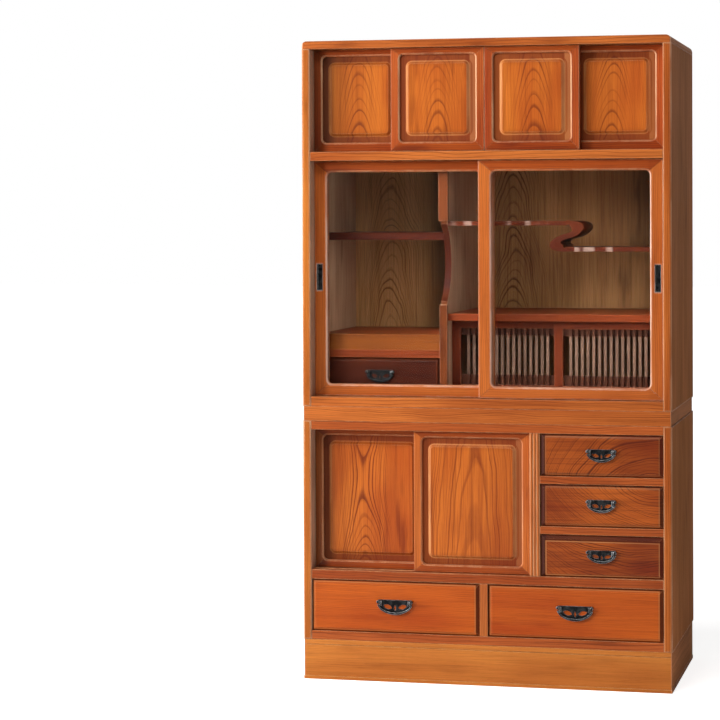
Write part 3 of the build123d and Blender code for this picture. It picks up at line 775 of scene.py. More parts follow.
@dataclass(frozen=True)
class WoodFinish(Finish):
    """Lacquered or unlacquered wood on one piece, made of one or more boards."""

    main: Board
    others: tuple[tuple[Mask, Board], ...] = ()
    joints: Rails | None = None
    border: Border | None = None
    shades: tuple[Shade, ...] = ()
    arris: float = 0.0024
    # How far arrises are lightened: partly scuffing, partly painted highlight.
    wear: float = 0.75
    # How strongly slanted faces take the painted highlight.
    slant: float = 0.55
    gloss: float | None = None
    seam: str = "4a2210"

    def write(self, graph: Graph, shader: bpy.types.Node) -> None:
        """Write grain and stain, painted shade, painted highlight and scuffing on arrises, and the lacquer.

        Args:
            graph: the material's tree.
            shader: its Principled shader.
        """
        source = graph.node("TexCoord").outputs
        place = source["Object"]
        tone = self.main.tone
        colour, relief, dull = self.main.grow(graph, place).values()
        rough: Any = tone.roughness
        coat: Any = tone.coat
        worn: Any = linear(tone.worn)
        for part, board in self.others:
            mask = part.mask(graph, place)
            other = board.grow(graph, place)
            colour = graph.mix(mask, colour, other["Color"])
            relief = graph.blend(mask, relief, other["Relief"])
            dull = graph.blend(mask, dull, other["Dull"])
            rough = graph.blend(mask, rough, board.tone.roughness)
            worn = graph.mix(mask, worn, linear(board.tone.worn))
            if board.tone.coat != tone.coat:
                coat = graph.blend(mask, coat, board.tone.coat)
        if self.border:
            colour, channel = self.border.lay(graph, place, colour, worn)
            coat = graph.times(graph.math("MULTIPLY_ADD", channel, -0.9, 1.0), coat)
            rough = graph.math("MULTIPLY_ADD", channel, 0.2, rough)
        for shade in self.shades:
            colour = shade.lay(graph, place, colour)
        if self.joints:
            colour = graph.mix(graph.times(self.joints.place(graph, place)["Joint"], 0.55), colour,
                               linear(self.seam))
        arris = SoftArris().place(graph, Place=place, Facing=source["Normal"], Radius=self.arris)
        # Arrises and slanted faces lighten towards the pale edge colour: partly scuffing, partly painted
        # highlight.
        rub_and_highlight = graph.math("MAXIMUM", graph.times(arris["Wear"], self.wear),
                         graph.times(arris["Slant"], self.slant))
        bump = graph.node("Bump", {"Strength": 0.35, "Distance": 0.0004, "Height": relief,
                                   "Normal": arris["Normal"]})
        graph.fill(shader, {"Base Color": graph.mix(rub_and_highlight, colour, worn), "Roughness": graph.plus(dull, rough),
                            "Coat Weight": coat, "Coat Roughness": 0.12, "Normal": bump.outputs[0],
                            "Specular IOR Level": tone.gloss if self.gloss is None else self.gloss})


@dataclass(frozen=True)
class IronFinish(Finish):
    """Blackened iron whose edges are lighter: partly uncoated metal, partly painted glint."""

    skin: str = "1a1b1d"
    # The colour of the edges: partly bare metal, partly painted glint.
    bare: str = "d6dadc"
    arris: float = 0.0016

    def write(self, graph: Graph, shader: bpy.types.Node) -> None:
        """Write the hammered skin and the lighter arrises, partly uncoated metal and partly painted glint.

        Args:
            graph: the material's tree.
            shader: its Principled shader.
        """
        source = graph.node("TexCoord").outputs
        place = source["Object"]
        arris = SoftArris().place(graph, Place=place, Facing=source["Normal"], Radius=self.arris)
        skin = HammeredIron().place(graph, Place=place, Skin=linear(self.skin), Bare=linear(self.bare),
                                    Wear=graph.math("MAXIMUM", arris["Wear"], arris["Slant"]))
        bump = graph.node("Bump", {"Strength": 0.4, "Distance": 0.0003, "Height": skin["Relief"],
                                   "Normal": arris["Normal"]})
        graph.fill(shader, {"Base Color": skin["Color"], "Roughness": skin["Roughness"],
                            "Metallic": skin["Metal"], "Normal": bump.outputs[0]})


@dataclass(frozen=True)
class GlassFinish(Finish):
    """Clear float glass that lets the studio light through."""

    tint: str = "f4f8f6"
    shadow: float = 0.06

    def write(self, graph: Graph, shader: bpy.types.Node) -> None:
        """Write clear glass with faint smears and a light shadow.

        Args:
            graph: the material's tree.
            shader: its Principled shader.
        """
        smear = graph.noise(graph.node("TexCoord").outputs["Object"], (7.0, 7.0, 5.0), 3.0)
        shadow_ray = graph.node("LightPath").outputs["Is Shadow Ray"]
        graph.fill(shader, {"Base Color": linear(self.tint), "Transmission Weight": 1.0, "IOR": 1.12,
                            "Roughness": graph.span(smear, 0.62, 0.85, 0.0, 0.006),
                            "Alpha": graph.math("MULTIPLY_ADD", shadow_ray, self.shadow - 1.0, 1.0)})


@dataclass(frozen=True)
class FloorFinish(Finish):
    """A pale matt floor that fades into the white surroundings away from the cabinet."""

    lift: float = 0.80

    def write(self, graph: Graph, shader: bpy.types.Node) -> None:
        """Write a faintly clouded white that is lifted only to the eye.

        Args:
            graph: the material's tree.
            shader: its Principled shader.
        """
        place = graph.node("TexCoord").outputs["Object"]
        cloud = graph.noise(place, (1.1, 1.1, 1.1))
        away = graph.node("VectorMath", {0: place}, operation="LENGTH").outputs["Value"]
        seen = graph.node("LightPath").outputs["Is Camera Ray"]
        lift = graph.times(seen, graph.span(away, 1.2, 4.0, self.lift, 1.0))
        graph.fill(shader, {"Base Color": graph.mix(cloud, linear("f6f5f3"), linear("fafaf8")),
                            "Roughness": 0.9, "Specular IOR Level": 0.0,
                            "Emission Color": (1.0, 1.0, 1.0, 1.0), "Emission Strength": lift})


# ---------------------------------------------------------------- pieces
def dress(node: str, finish: Finish) -> str:
    """Give a node of the frame its finish.

    Args:
        node: the node's name.
        finish: what it is finished with.

    Returns:
        The node's name.
    """
    made = finish.material(node)
    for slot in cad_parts[node].material_slots:
        slot.material = made
    return node


def soften(node: str, width: float = 0.0012, segments: int = 2) -> None:
    """Round the arrises of a node that is one solid.

    Args:
        node: the node's name.
        width: how far the rounding reaches.
        segments: how many facets it has.
    """
    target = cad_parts[node]
    target.modifiers.new("weld", "WELD").merge_threshold = 1e-5
    bevel = target.modifiers.new("arris", "BEVEL")
    bevel.width = width
    bevel.segments = segments
    bevel.limit_method = "ANGLE"
    bevel.angle_limit = math.radians(40)
    bevel.harden_normals = True


def stand(name: str, data: bpy.types.ID) -> bpy.types.Object:
    """Put a new object in the scene.

    Args:
        name: its name.
        data: its mesh, lamp or camera.

    Returns:
        The object.
    """
    made = bpy.data.objects.new(name, data)
    bpy.context.scene.collection.objects.link(made)
    return made


def mesh_object(name: str, made: bmesh.types.BMesh) -> bpy.types.Object:
    """Turn a finished mesh into an object of the scene.

    Args:
        name: the piece's name.
        made: its mesh, which is freed.

    Returns:
        The object.
    """
    data = bpy.data.meshes.new(name)
    made.to_mesh(data)
    made.free()
    return stand(name, data)


@dataclass
class Case:
    """One of the two chests, between its two sides."""

    name: str
    side_seeds: tuple[float, float]
    edge_deep: float = 0.0016
    skin: float = 0.002

    def side_finish(self, name: str, sign: int, seed: float) -> WoodFinish:
        """The finish of a side: stained outside, pale inside, lacquered on its front edge.

        Args:
            name: the node's name.
            sign: -1 for a left side, 1 for a right one.
            seed: where its grain is read.

        Returns:
            The finish.
        """
        low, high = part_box(name)
        inner, outer = (low.x, high.x) if sign > 0 else (high.x, low.x)
        main = Board(Cut.UPRIGHT_SIDE, SIDE_TONE, (0.02, outer, 0.0), SIDE_FIGURE, seed)
        inside = Board(Cut.UPRIGHT_SIDE, INSIDE_TONE, (0.05, inner, 0.0), SIDE_FIGURE, seed + 0.7)
        edge_tone = CASE_TONE if sign > 0 else EDGE_TONE
        edge = straight(Cut.UPRIGHT, edge_tone, Vector((inner, low.y, low.z)), seed + 1.1)
        return WoodFinish(main, ((Beyond(X, inner + sign * self.skin, sign > 0), inside),
                                 (Beyond(Y, low.y + self.edge_deep, True), edge)), arris=0.007, wear=0.9)

    def sides(self) -> Iterable[str]:
        """Dress the two sides."""
        for side, sign, seed in zip(("left", "right"), (-1, 1), self.side_seeds):
            name = f"{self.name}_{side}_side"
            yield dress(name, self.side_finish(name, sign, seed))
            soften(name)

    def ends(self, name: str, deep: float, seed: float) -> tuple[tuple[Mask, Board], ...]:
        """The stained ends of a board that runs across the whole chest.

        Args:
            name: the node's name.
            deep: how far in the stain goes.
            seed: where the grain is read.

        Returns:
            Each end and its board.
        """
        low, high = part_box(name)
        end = straight(Cut.DEEP_SIDE, SIDE_TONE, Vector((high.x, low.y, low.z)), seed)
        return (Beyond(X, high.x - deep), end), (Beyond(X, low.x + deep, True), end)


@dataclass
class UpperCase(Case):
    """The upper chest: sides, top, back and the boards that carry the doors."""

    name: str = "upper"
    side_seeds: tuple[float, float] = (1.3, 2.6)
    joint: float = -0.132

    def boards(self) -> Iterable[str]:
        """Dress the top board, whose ends show, the middle board and the sill."""
        for name, seed in (("upper_top_board", 3.1), ("upper_middle_board", 4.2), ("upper_sill_board", 5.4)):
            ends = self.ends(name, 0.004, seed + 0.6) if name == "upper_top_board" else ()
            board = straight(Cut.SHELF, CASE_TONE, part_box(name)[0], seed)
            yield dress(name, WoodFinish(board, ends, gloss=0.08))
            soften(name, 0.0015)

    def back(self) -> Iterable[str]:
        """Dress the back panel, which shows through the glass: two boards, with painted shade towards the
        corners.
        """
        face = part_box("upper_back_panel")[0].y
        pale = replace(BACK_TONE, pale="d8a26e", band="b88052", ring="523220")
        arches = Figure(95, 0.05, 0.30, 0.0, 5.0, 1.5, 0.05)
        left, right = (Board(Cut.UPRIGHT, tone, (heart, face, 1.1), arches, seed)
                       for tone, heart, seed in ((pale, -0.385, 6.0), (BACK_TONE, -0.01, 7.5)))
        inner = Beyond(Y, face + self.skin, True)
        over = Beyond(Z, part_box("staggered_shelf")[0].z)
        # Painted shade beside the partition in the left compartment, towards the top, in the right corner
        # above the staggered shelf, and towards the right.
        painted_shade = (Shade(X, -0.34, -0.20, 0.9, Both(inner, Beyond(X, self.joint, True))),
                 Shade(Z, 1.62, 1.76, 0.38, inner), Shade(X, 0.30, 0.44, 0.7, Both(inner, over)),
                 Shade(X, 0.12, 0.40, 0.30, inner))
        yield dress("upper_back_panel", WoodFinish(left, ((Beyond(X, self.joint), right),), shades=painted_shade))

    def build(self) -> list[str]:
        """Dress every piece and return their names."""
        return [*self.sides(), *self.boards(), *self.back()]


@dataclass
class LowerCase(Case):
    """The lower chest: sides, belt, rails, pilaster, back and plinth."""

    name: str = "lower"
    side_seeds: tuple[float, float] = (1.9, 3.4)
    seed: float = 61.0
    plinth_thick: float = 0.0195
    plinth_front: float = 0.0225

    def boards(self) -> Iterable[str]:
        """Dress the level boards and rails, the divider, the pilaster and the partition behind it."""
        for name, cut, tone, step, rounded in (
                ("lower_bottom_board", Cut.SHELF, BEAM_TONE, 0.0, True),
                ("lower_deck", Cut.SHELF, BEAM_TONE, 1.4, True),
                ("lower_rails", Cut.SHELF, BEAM_TONE, 2.8, True),
                ("wide_drawer_divider", Cut.UPRIGHT, CASE_TONE, 5.0, True),
                ("drawer_partition", Cut.UPRIGHT_SIDE, INSIDE_TONE, 6.0, False),
                ("fluted_pilaster", Cut.UPRIGHT, CASE_TONE, 14.0, False)):
            finish = WoodFinish(straight(cut, tone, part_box(name)[0], self.seed + step))
            if cut is Cut.SHELF:
                finish = replace(finish, wear=0.9, arris=0.0045 if name == "lower_deck" else finish.arris)
            yield dress(name, finish)
            if rounded:
                soften(name, 0.001)

    def belt(self) -> Iterable[str]:
        """Dress the belt between the two chests: lacquered in front, stained at its ends."""
        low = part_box("belt_board")[0]
        figure = Figure(120, lean=0.03, wander=0.6, column=NO_COLUMN)
        front = Board(Cut.LEVEL, CASE_TONE, (low.z - 0.04, low.y, 0.0), figure, self.seed + 8)
        ends = self.ends("belt_board", 0.002, self.seed + 9)
        yield dress("belt_board", WoodFinish(front, ends, gloss=0.08))
        soften("belt_board", 0.0015)

    def plinth(self) -> Iterable[str]:
        """Dress the plinth: its front board is lighter than its ends."""
        low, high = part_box("plinth")
        centre = (low + high) / 2
        figure = Figure(150, lean=0.02, wander=0.4, column=NO_COLUMN)
        front = Board(Cut.LEVEL, PLINTH_TONE, (low.z - 0.06, low.y, 0.0), figure, self.seed + 11)
        back = Board(Cut.LEVEL, RAW_TONE, (centre.z, high.y, 0.0), Figure(lean=0.04), self.seed + 13)
        ends = self.ends("plinth", 0.004, self.seed + 12)
        behind = ((Beyond(Y, low.y + self.plinth_front), ends[0][1]),
                  (Beyond(Y, high.y - self.plinth_thick), back))
        yield dress("plinth", WoodFinish(front, ends + behind, gloss=0.08))

    def back(self) -> Iterable[str]:
        """Dress the back panel."""
        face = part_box("lower_back_panel")[1].y
        board = Board(Cut.UPRIGHT, BACK_TONE, (-0.2, face, 0.0), Figure(lean=0.2), self.seed + 15)
        yield dress("lower_back_panel", WoodFinish(board))

    def build(self) -> list[str]:
        """Dress every piece and return their names."""
        return [*self.sides(), *self.boards(), *self.belt(), *self.plinth(), *self.back()]


@dataclass
class MitredDoors:
    """Sliding doors with mitred frames: member widths, and the tongues over and under them."""

    stile: float
    top: float
    bottom: float
    seed: float
    tone: Tone = FRAME_TONE
    rail_tone: Tone = RAIL_TONE
    foot_tone: Tone = RAIL_TONE
    tongue_up: float = 0.006
    tongue_down: float = 0.0025

    def rails(self, name: str) -> Rails:
        """The rails of the frame that a node shows."""
        low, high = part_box(name)
        return Rails(low.x, high.x, low.z + self.tongue_down, high.z - self.tongue_up, self.stile, self.top,
                     self.bottom)

    def frame_finish(self, name: str, seed: float, arris: float,
                     shades: tuple[Shade, ...] = ()) -> WoodFinish:
        """The finish of one mitred frame.

        Args:
            name: the node's name.
            seed: where its grain is read.
            arris: how far its arrises are rounded.
            shades: where it is darker.

        Returns:
            The finish.
        """
        low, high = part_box(name)
        rails = self.rails(name)
        stiles = straight(Cut.UPRIGHT, self.tone, low, seed)
        head = straight(Cut.LEVEL, self.rail_tone, low, seed + 0.4)
        foot = straight(Cut.LEVEL, self.foot_tone, low, seed + 0.7)
        lower = Both(rails, Beyond(Z, (low.z + high.z) / 2, True))
        return WoodFinish(stiles, ((rails, head), (lower, foot)), rails, shades=shades, arris=arris)


@dataclass
class PanelDoors(MitredDoors):
    """Sliding doors with a mitred frame and a raised panel, the first of them in the shade of the side.

    Each door has a name, where its panel's heart lies, and the figure of its panel.
    """

    doors: tuple[tuple[str, tuple[float, float], Figure], ...] = ()
    inset: float = 0.025
    corner: float = 0.017
    panel_tone: Tone = PANEL_TONE
    # Per door: painted highlight mixed with scuffing on the line, the right channel and the slanted faces;
    # least on the first door, which stands in the side's shade.
    rubbed: tuple[float, ...] = (0.15, 0.5, 0.5, 0.35)
    # The depth of the painted shade over the left part of the first panel.
    haze: float = 0.32
    wash: float = 0.14
    blush: float = 0.0

    def panel_finish(self, name: str, i: int) -> WoodFinish:
        """The finish of one raised panel.

        Args:
            name: the node's name.
            i: the door's number from the left.

        Returns:
            The finish.
        """
        _, heart, figure = self.doors[i]
        grain = flat_sawn(Cut.UPRIGHT, self.panel_tone, name, heart, figure, self.seed + 1.7 * i + 0.9)
        low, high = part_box(name)
        left = low.x + self.inset
        border = Border((left, low.z + self.inset), (high.x - self.inset, high.z - self.inset), self.corner,
                        line=self.rubbed[i] * 0.8, right=self.rubbed[i] * 0.4)
        shades = (Shade(X, left + 0.05, left + 0.20, self.blush, None, "74200c"),)
        # The first door stands behind the others beside the case side: painted shadow darkens its panel's
        # left edge and painted shade its left part; a brown wash darkens the rest.
        if i == 0:
            shades = (Shade(X, left + 0.030, left - 0.002, 0.5), Shade(X, left + 0.14, left, self.haze),
                      Shade(X, left + 0.06, left + 0.12, self.wash, None, "5a240c"))
        return WoodFinish(grain, border=border, shades=shades, slant=self.rubbed[i])

    def build(self) -> list[str]:
        """Dress every door and return the names of its pieces."""
        made = []
        for i, (door, _, _) in enumerate(self.doors):
            frame_name, panel_name = f"{door}_frame", f"{door}_panel"
            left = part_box(frame_name)[0].x
            # Painted shadow of the case side over the first frame's left stile.
            shades = (Shade(X, left + 0.05, left + 0.005, 0.6),) if i == 0 else ()
            made.append(dress(frame_name, self.frame_finish(frame_name, self.seed + 1.7 * i, 0.004, shades)))
            made.append(dress(panel_name, self.panel_finish(panel_name, i)))
        return made


@dataclass
class GlassDoors(MitredDoors):
    """The two glazed doors with their iron finger cups."""

    stile: float = 0.037
    top: float = 0.031
    bottom: float = 0.0325
    seed: float = 21.0
    tone: Tone = GLAZED_TONE
    foot_tone: Tone = GLAZED_TONE

    def build(self) -> list[str]:
        """Dress both doors and return the names of their pieces."""
        made = []
        for i, door in enumerate(("glass_door_left", "glass_door_right")):
            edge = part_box(f"{door}_frame")[1].x - self.stile
            shades = (Shade(X, edge - 0.010, edge + 0.004, 0.16, None, "5c1c0a"),) if i else ()
            finish = self.frame_finish(f"{door}_frame", self.seed + 2.3 * i, 0.006, shades)
            made += [dress(f"{door}_frame", finish), dress(f"{door}_pane", GlassFinish()),
                     dress(f"{door}_pull", IronFinish(skin="15171a"))]
        return made


@dataclass
class LatticeDoors(MitredDoors):
    """The two small doors with upright slats, lighter in a band across their middle: a painted reflection."""

    stile: float = 0.025
    top: float = 0.022
    bottom: float = 0.028
    seed: float = 31.0
    # How far the painted reflection on the slats stays below the top rail and above the bottom rail.
    upper_rail: float = 0.020
    lower_rail: float = 0.029

    def build(self) -> list[str]:
        """Dress both doors and return their names."""
        made = []
        for i, name in enumerate(("lattice_door_left", "lattice_door_right")):
            rails = self.rails(name)
            # Between the two widened rails the slats take a painted reflection.
            between = replace(rails, top=self.top + self.upper_rail, bottom=self.bottom + self.lower_rail)
            low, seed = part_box(name)[0], self.seed + 1.9 * i
            stiles = straight(Cut.UPRIGHT, RED_TONE, low, seed)
            level = straight(Cut.LEVEL, RED_TONE, low, seed + 0.4)
            ends = straight(Cut.UPRIGHT, SLAT_END_TONE, low, seed + 0.8, 240.0)
            slats = straight(Cut.UPRIGHT, SLAT_REFLECTION_TONE, low, seed + 0.8, 240.0)
            others = ((rails, level), (Inside(rails), ends), (Inside(between), slats))
            made.append(dress(name, WoodFinish(stiles, others, rails, slant=0.3)))
        return made


@dataclass
class Display:
    """What stands behind the glass: partition, shelves, decks and the staggered shelf."""

    seed: float = 41.0
    post_deep: float = 0.0121
    apron_deep: float = 0.0155
    apron_foot: float = 0.927
    bend_left: float = 0.165
    bend_right: float = 0.240

    def partition(self) -> Iterable[str]:
        """Dress the partition between the displays: pale faces, dark edges and red posts."""
        low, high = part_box("curved_partition")
        board = Board(Cut.UPRIGHT_SIDE, INSIDE_TONE, (0.0, (low.x + high.x) / 2, 0.0), SIDE_FIGURE, self.seed)
        edges, posts = (straight(Cut.UPRIGHT, tone, low, self.seed + step)
                        for tone, step in ((SHELF_TONE, 0.5), (POST_TONE, 0.8)))
        yield dress("curved_partition", WoodFinish(board, (
            (Edges(X), edges), (Beyond(Y, low.y + self.post_deep, True), posts)), arris=0.003))

    def apron(self) -> tuple[tuple[Mask, Board], ...]:
        """The apron in front of the inner deck, with its board."""
        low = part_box("inner_deck")[0]
        heart = (low.z - 0.05, low.y, 0.0)
        board = Board(Cut.LEVEL, APRON_TONE, heart, Figure(110, lean=0.05), self.seed + 1.3)
        return (Both(Beyond(Y, low.y + self.apron_deep, True), Beyond(Z, self.apron_foot)), board),

    def gleams(self) -> tuple[tuple[Mask, Board], ...]:
        """The red edge of the staggered shelf and the painted highlights on its two levels, beside its bend.
        """
        low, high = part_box("staggered_shelf")
        edge, painted_glint = (straight(Cut.SHELF, tone, Vector((low.x, low.y, high.z)), self.seed + step)
                       for tone, step in ((SHELF_EDGE_TONE, 9.7), (PAINTED_GLINT_TONE, 9.1)))
        lower = Both(Beyond(X, self.bend_right), Beyond(Z, (low.z + high.z) / 2, True))
        return ((Edges(Z), edge), (Both(Patches(), Beyond(X, self.bend_left, True)), painted_glint),
                (Both(Patches(), lower), painted_glint))

    def shelves(self) -> Iterable[str]:
        """Dress the shelves and decks."""
        for i, (name, tone, others) in enumerate((
                ("left_shelf", SHELF_TONE, ()), ("inner_deck", DECK_TONE, self.apron()),
                ("lattice_deck", DECK_TONE, ()), ("staggered_shelf", SHELF_TONE, self.gleams()))):
            low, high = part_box(name)
            deck = straight(Cut.SHELF, tone, Vector((low.x, low.y, high.z)), self.seed + 2.1 * (i + 1), 150.0)
            yield dress(name, WoodFinish(deck, others))
            if name != "inner_deck":
                soften(name, 0.001)

    def build(self) -> list[str]:
        """Dress every piece and return their names."""
        return [*self.partition(), *self.shelves()]


@dataclass(frozen=True)
class DrawerFront:
    """How one drawer's front looks.

    The heart lies off the middle across the fibres and along them. The margins of the field are left, foot,
    right and head. A red stain is clear and dark at distances from the left end, and has a depth.
    """

    name: str
    tone: Tone
    heart: tuple[float, float]
    figure: Figure
    margins: tuple[float, float, float, float] = (0.004, 0.004, 0.011, 0.004)
    stains: tuple[tuple[float, float, float], ...] = ()
    # How light the line round the field is: partly scuffing, partly painted highlight.
    line: float = 0.30
    # The edge colours of plate and bail: partly bare metal, partly painted glint, near white on the bail.
    bare: tuple[str, str] = ("9a9ea0", "eef1f2")


@dataclass
class Drawers:
    """Six drawers with openwork plates, bails and domed stud heads."""

    front_thick: float = 0.020
    stud_radius: float = 0.004
    head_radius: float = 0.0045
    head_tall: float = 0.0022
    eye_radius: float = 0.0034
    around: int = 20
    steps: int = 6
    seed: float = 91.0
    fronts: tuple[DrawerFront, ...] = (
        DrawerFront("small_drawer_1", DRAWER_TONE, (-0.075, 0.14),
                    Figure(78, 0.04, 0.0, 5.0, 3.0, 2.2, NO_COLUMN),
                    (0.014, 0.004, 0.010, 0.005), ((0.19, 0.24, 0.42), (-0.2, -0.1, 0.20))),
        DrawerFront("small_drawer_2", DRAWER_TONE, (0.115, 0.23),
                    Figure(78, 0.03, 0.0, 2.4, 3.0, 2.0, NO_COLUMN),
                    (0.014, 0.004, 0.010, 0.005), ((0.16, 0.02, 0.32),)),
        DrawerFront("small_drawer_3", DRAWER_TONE, (-0.12, 0.06),
                    Figure(72, 0.04, 0.30, -1.5, 3.0, 2.2, NO_COLUMN),
                    (0.014, 0.004, 0.010, 0.016), ((0.14, 0.30, 0.32), (-0.2, -0.1, 0.17)), 0.65),
        DrawerFront("wide_drawer_left", WIDE_TONE, (-0.25, 0.0), WIDE_FIGURE),
        DrawerFront("wide_drawer_right", WIDE_TONE, (-0.22, 0.0), WIDE_FIGURE),
        DrawerFront("inner_drawer", CHEST_TONE, (-0.10, 0.0),
                    Figure(110, 0.03, 0.15, 0.0, 2.0, 1.0, NO_COLUMN), bare=("6a6e70", "6a6e70")),
    )

    def box_finish(self, front: DrawerFront, seed: float) -> WoodFinish:
        """The finish of one drawer: lacquered front; sides, back and floor left unlacquered.

        Args:
            front: how its front looks.
            seed: where its grain is read.

        Returns:
            The finish.
        """
        low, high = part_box(front.name)
        face = flat_sawn(Cut.LEVEL, front.tone, front.name, front.heart, front.figure, seed)
        sides = straight(Cut.DEEP_SIDE, RAW_TONE, low, seed + 0.5, 140.0)
        left, foot, right, head = front.margins
        # The channel takes stain and painted shade, near black at its left end, a painted shadow.
        border = Border((low.x + left, low.z + foot), (high.x - right, high.z - head), 0.0, "2c0f08", 0.80,
                        0.97, line=front.line, right=0.0, gather=0.006)
        before = Beyond(Y, low.y + self.front_thick, True)
        shades = tuple(Shade(X, low.x + clear, low.x + dark, depth, before, "58190b")
                       for clear, dark, depth in front.stains)
        return WoodFinish(face, ((Beyond(Y, low.y + self.front_thick), sides),), border=border, shades=shades)

    def stud_head(self, name: str, centre: Vector) -> bpy.types.Object:
        """Turn one domed head on the front of a stud.

        Args:
            name: the piece's name.
            centre: the middle of the stud's front face.

        Returns:
            The head.
        """
        made = bmesh.new()
        turns = [2 * math.pi * k / self.around for k in range(self.around)]
        rows = []
        for i in range(self.steps):
            angle = math.pi / 2 * i / self.steps
            radius, rise = self.head_radius * math.cos(angle), self.head_tall * math.sin(angle)
            ring = (Vector((radius * math.cos(turn), -rise, radius * math.sin(turn))) for turn in turns)
            rows.append([made.verts.new(centre + spot) for spot in ring])
        top = made.verts.new(centre + Vector((0, -self.head_tall, 0)))
        for k in range(self.around):
            n = (k + 1) % self.around
            for low, high in zip(rows, rows[1:]):
                made.faces.new((low[k], low[n], high[n], high[k]))
            made.faces.new((rows[-1][k], rows[-1][n], top))
        made.faces.new(rows[0])
        bmesh.ops.recalc_face_normals(made, faces=made.faces)
        for face in made.faces:
            face.smooth = len(face.verts) < 5
        return mesh_object(name, made)

    def heads(self, name: str, iron: bpy.types.Material) -> Iterable[str]:
        """Set a drawer's two stud heads, in front of the eyes of its bail.

        Args:
            name: the drawer's name.
            iron: their material.

        Returns:
            Their names.
        """
        low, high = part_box(f"{name}_plate")
        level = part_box(f"{name}_bail")[1].z - self.eye_radius
        for side, x in (("left", low.x + self.stud_radius), ("right", high.x - self.stud_radius)):
            head = self.stud_head(f"{name}_stud_{side}", Vector((x, low.y, level)))
            head.data.materials.append(iron)
            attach(head, name)
            yield head.name

    def build(self) -> list[str]:
        """Dress every drawer and pull, add the stud heads and return their names."""
        made = []
        iron = IronFinish().material("stud_head_iron")
        for i, front in enumerate(self.fronts):
            made.append(dress(front.name, self.box_finish(front, self.seed + 1.7 * i)))
            for part, skin, bare in zip(("plate", "bail"), ("131416", "24262a"), front.bare):
                made.append(dress(f"{front.name}_{part}", IronFinish(skin, bare)))
            soften(f"{front.name}_bail", 0.0012, 3)
            made += self.heads(front.name, iron)
        return made


# ---------------------------------------------------------------- studio
@dataclass
class Viewpoint:
    """The camera, at eye height and a little to the right."""

    place: tuple[float, float, float] = (1.2666, -5.9908, 1.3216)
    yaw: float = 11.413
    pitch: float = 0.675
    roll: float = -0.176
    lens: float = 106.15
    shift: tuple[float, float] = (-0.2235, -0.1730)

    def build(self) -> str:
        """Make the scene's camera and return its name."""
        data = bpy.data.cameras.new("viewpoint")
        data.sensor_width = 36.0
        data.lens = self.lens
        data.shift_x, data.shift_y = self.shift
        camera = stand("viewpoint", data)
        camera.location = self.place
        aim = Euler((math.radians(90 - self.pitch), 0.0, math.radians(self.yaw)), "XYZ").to_matrix()
        camera.rotation_euler = (aim @ Matrix.Rotation(math.radians(self.roll), 3, "Z")).to_euler()
        bpy.context.scene.camera = camera
        return camera.name


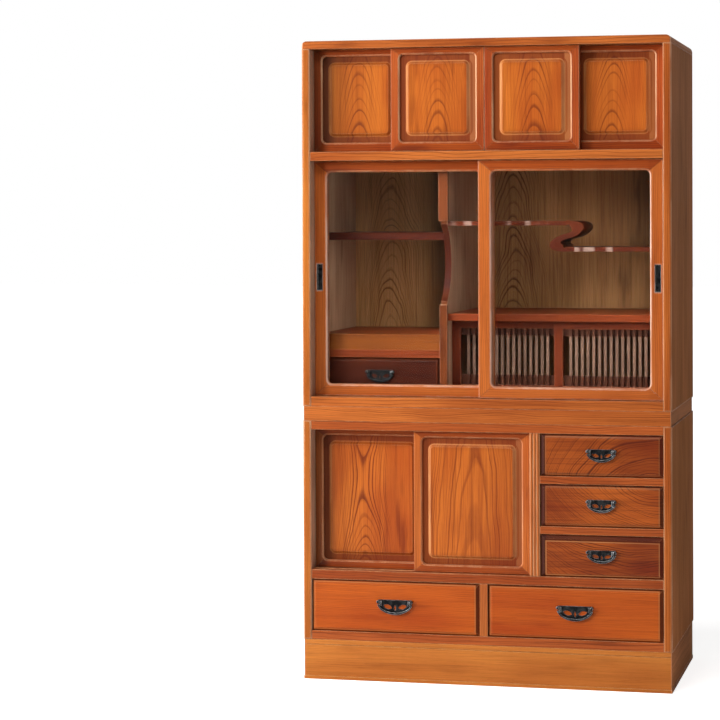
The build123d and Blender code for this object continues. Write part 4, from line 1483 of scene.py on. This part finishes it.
@dataclass
class Studio:
    """A pale floor, white surroundings, a darker side behind the camera and four soft lamps."""

    sky: float = 0.13
    camera_side: float = 0.05
    floor_half: float = 30.0
    floor_level: float = -0.0004
    aim: tuple[float, float, float] = (0.0, -0.1, 0.95)
    lamps: tuple[tuple[str, tuple[float, float, float], tuple[float, float], float], ...] = (
        ("key_lamp", (-3.7, -3.6, 2.6), (1.2, 1.2), 165.0),
        ("side_lamp", (-4.2, -1.6, 1.4), (0.9, 1.8), 150.0),
        ("top_lamp", (-0.7, -2.9, 4.2), (2.0, 1.2), 70.0),
        ("front_lamp", (0.6, -5.6, 3.4), (1.4, 1.4), 20.0),
    )

    def surroundings(self) -> None:
        """White to the eye and in reflections, plainer as a source of light."""
        world = bpy.data.worlds.new("studio")
        bpy.context.scene.world = world
        world.use_nodes = True
        graph = Graph(world.node_tree)
        path = graph.node("LightPath").outputs
        seen = graph.math("MAXIMUM", path["Is Camera Ray"], path["Is Transmission Ray"])
        way = graph.axes(graph.node("TexCoord").outputs["Generated"])[Y]
        mirrored = graph.span(way, -0.80, -0.10, self.camera_side, 1.0)
        strength = graph.blend(seen, graph.blend(path["Is Glossy Ray"], self.sky, mirrored), 1.0)
        graph.fill(world.node_tree.nodes["Background"], {"Color": (1.0, 1.0, 1.0, 1.0), "Strength": strength})

    def floor(self) -> str:
        """Lay the floor and return its name."""
        made = bmesh.new()
        half = self.floor_half
        made.faces.new([made.verts.new((x, y, self.floor_level)) for x, y in
                        ((-half, -half), (half, -half), (half, half), (-half, half))])
        piece = mesh_object("studio_floor", made)
        piece.data.materials.append(FloorFinish().material("studio_floor"))
        return piece.name

    def light(self) -> list[str]:
        """Hang the lamps, aimed at the middle of the cabinet, and return their names."""
        made = []
        for name, place, size, power in self.lamps:
            data = bpy.data.lights.new(name, "AREA")
            data.shape = "RECTANGLE"
            data.size, data.size_y = size
            data.energy = power
            lamp = stand(name, data)
            lamp.location = place
            lamp.rotation_euler = (Vector(self.aim) - Vector(place)).to_track_quat("-Z", "Y").to_euler()
            made.append(name)
        return made

    def build(self) -> list[str]:
        """Build the studio and return the names of what it holds."""
        self.surroundings()
        return [self.floor(), *self.light()]


def main() -> None:
    """Build every sub-assembly in order and report each piece."""
    logging.basicConfig(level=logging.INFO, format="%(message)s")
    bpy.context.scene.view_settings.view_transform = "Standard"
    log.info("camera %s", Viewpoint().build())
    small_doors = PanelDoors(stile=0.025, top=0.019, bottom=0.026, seed=11.0, doors=(
        ("small_door_1", (0.000, 0.010), SMALL_DOOR_FIGURE),
        ("small_door_2", (0.002, 0.016), SMALL_DOOR_FIGURE),
        ("small_door_3", (0.004, 0.000), replace(SMALL_DOOR_FIGURE, lean=0.24)),
        ("small_door_4", (-0.010, -0.010), replace(SMALL_DOOR_FIGURE, lean=0.27))))
    lower_doors = PanelDoors(stile=0.023, top=0.018, bottom=0.021, seed=81.0, doors=(
        ("lower_door_left", (-0.022, 0.056), Figure(96, 0.035, 0.0, -1.1, 8.5, 0.7, 0.045)),
        ("lower_door_right", (-0.004, 0.150), Figure(82, 0.100, 0.083, 0.0, 4.1, 0.8, 0.12))),
        tone=replace(GLAZED_TONE, worn="e6ac82"), haze=0.02, wash=0.0, blush=0.26,
        panel_tone=replace(PANEL_TONE, pale="d4762a", ring="621c0a", contrast=0.86))
    for assembly in (UpperCase(), small_doors, GlassDoors(), Display(), LatticeDoors(), LowerCase(),
                     lower_doors, Drawers(), Studio()):
        for piece in assembly.build():
            log.info("%s: %s", type(assembly).__name__, piece)
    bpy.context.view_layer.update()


if __name__ == "__main__":
    main()
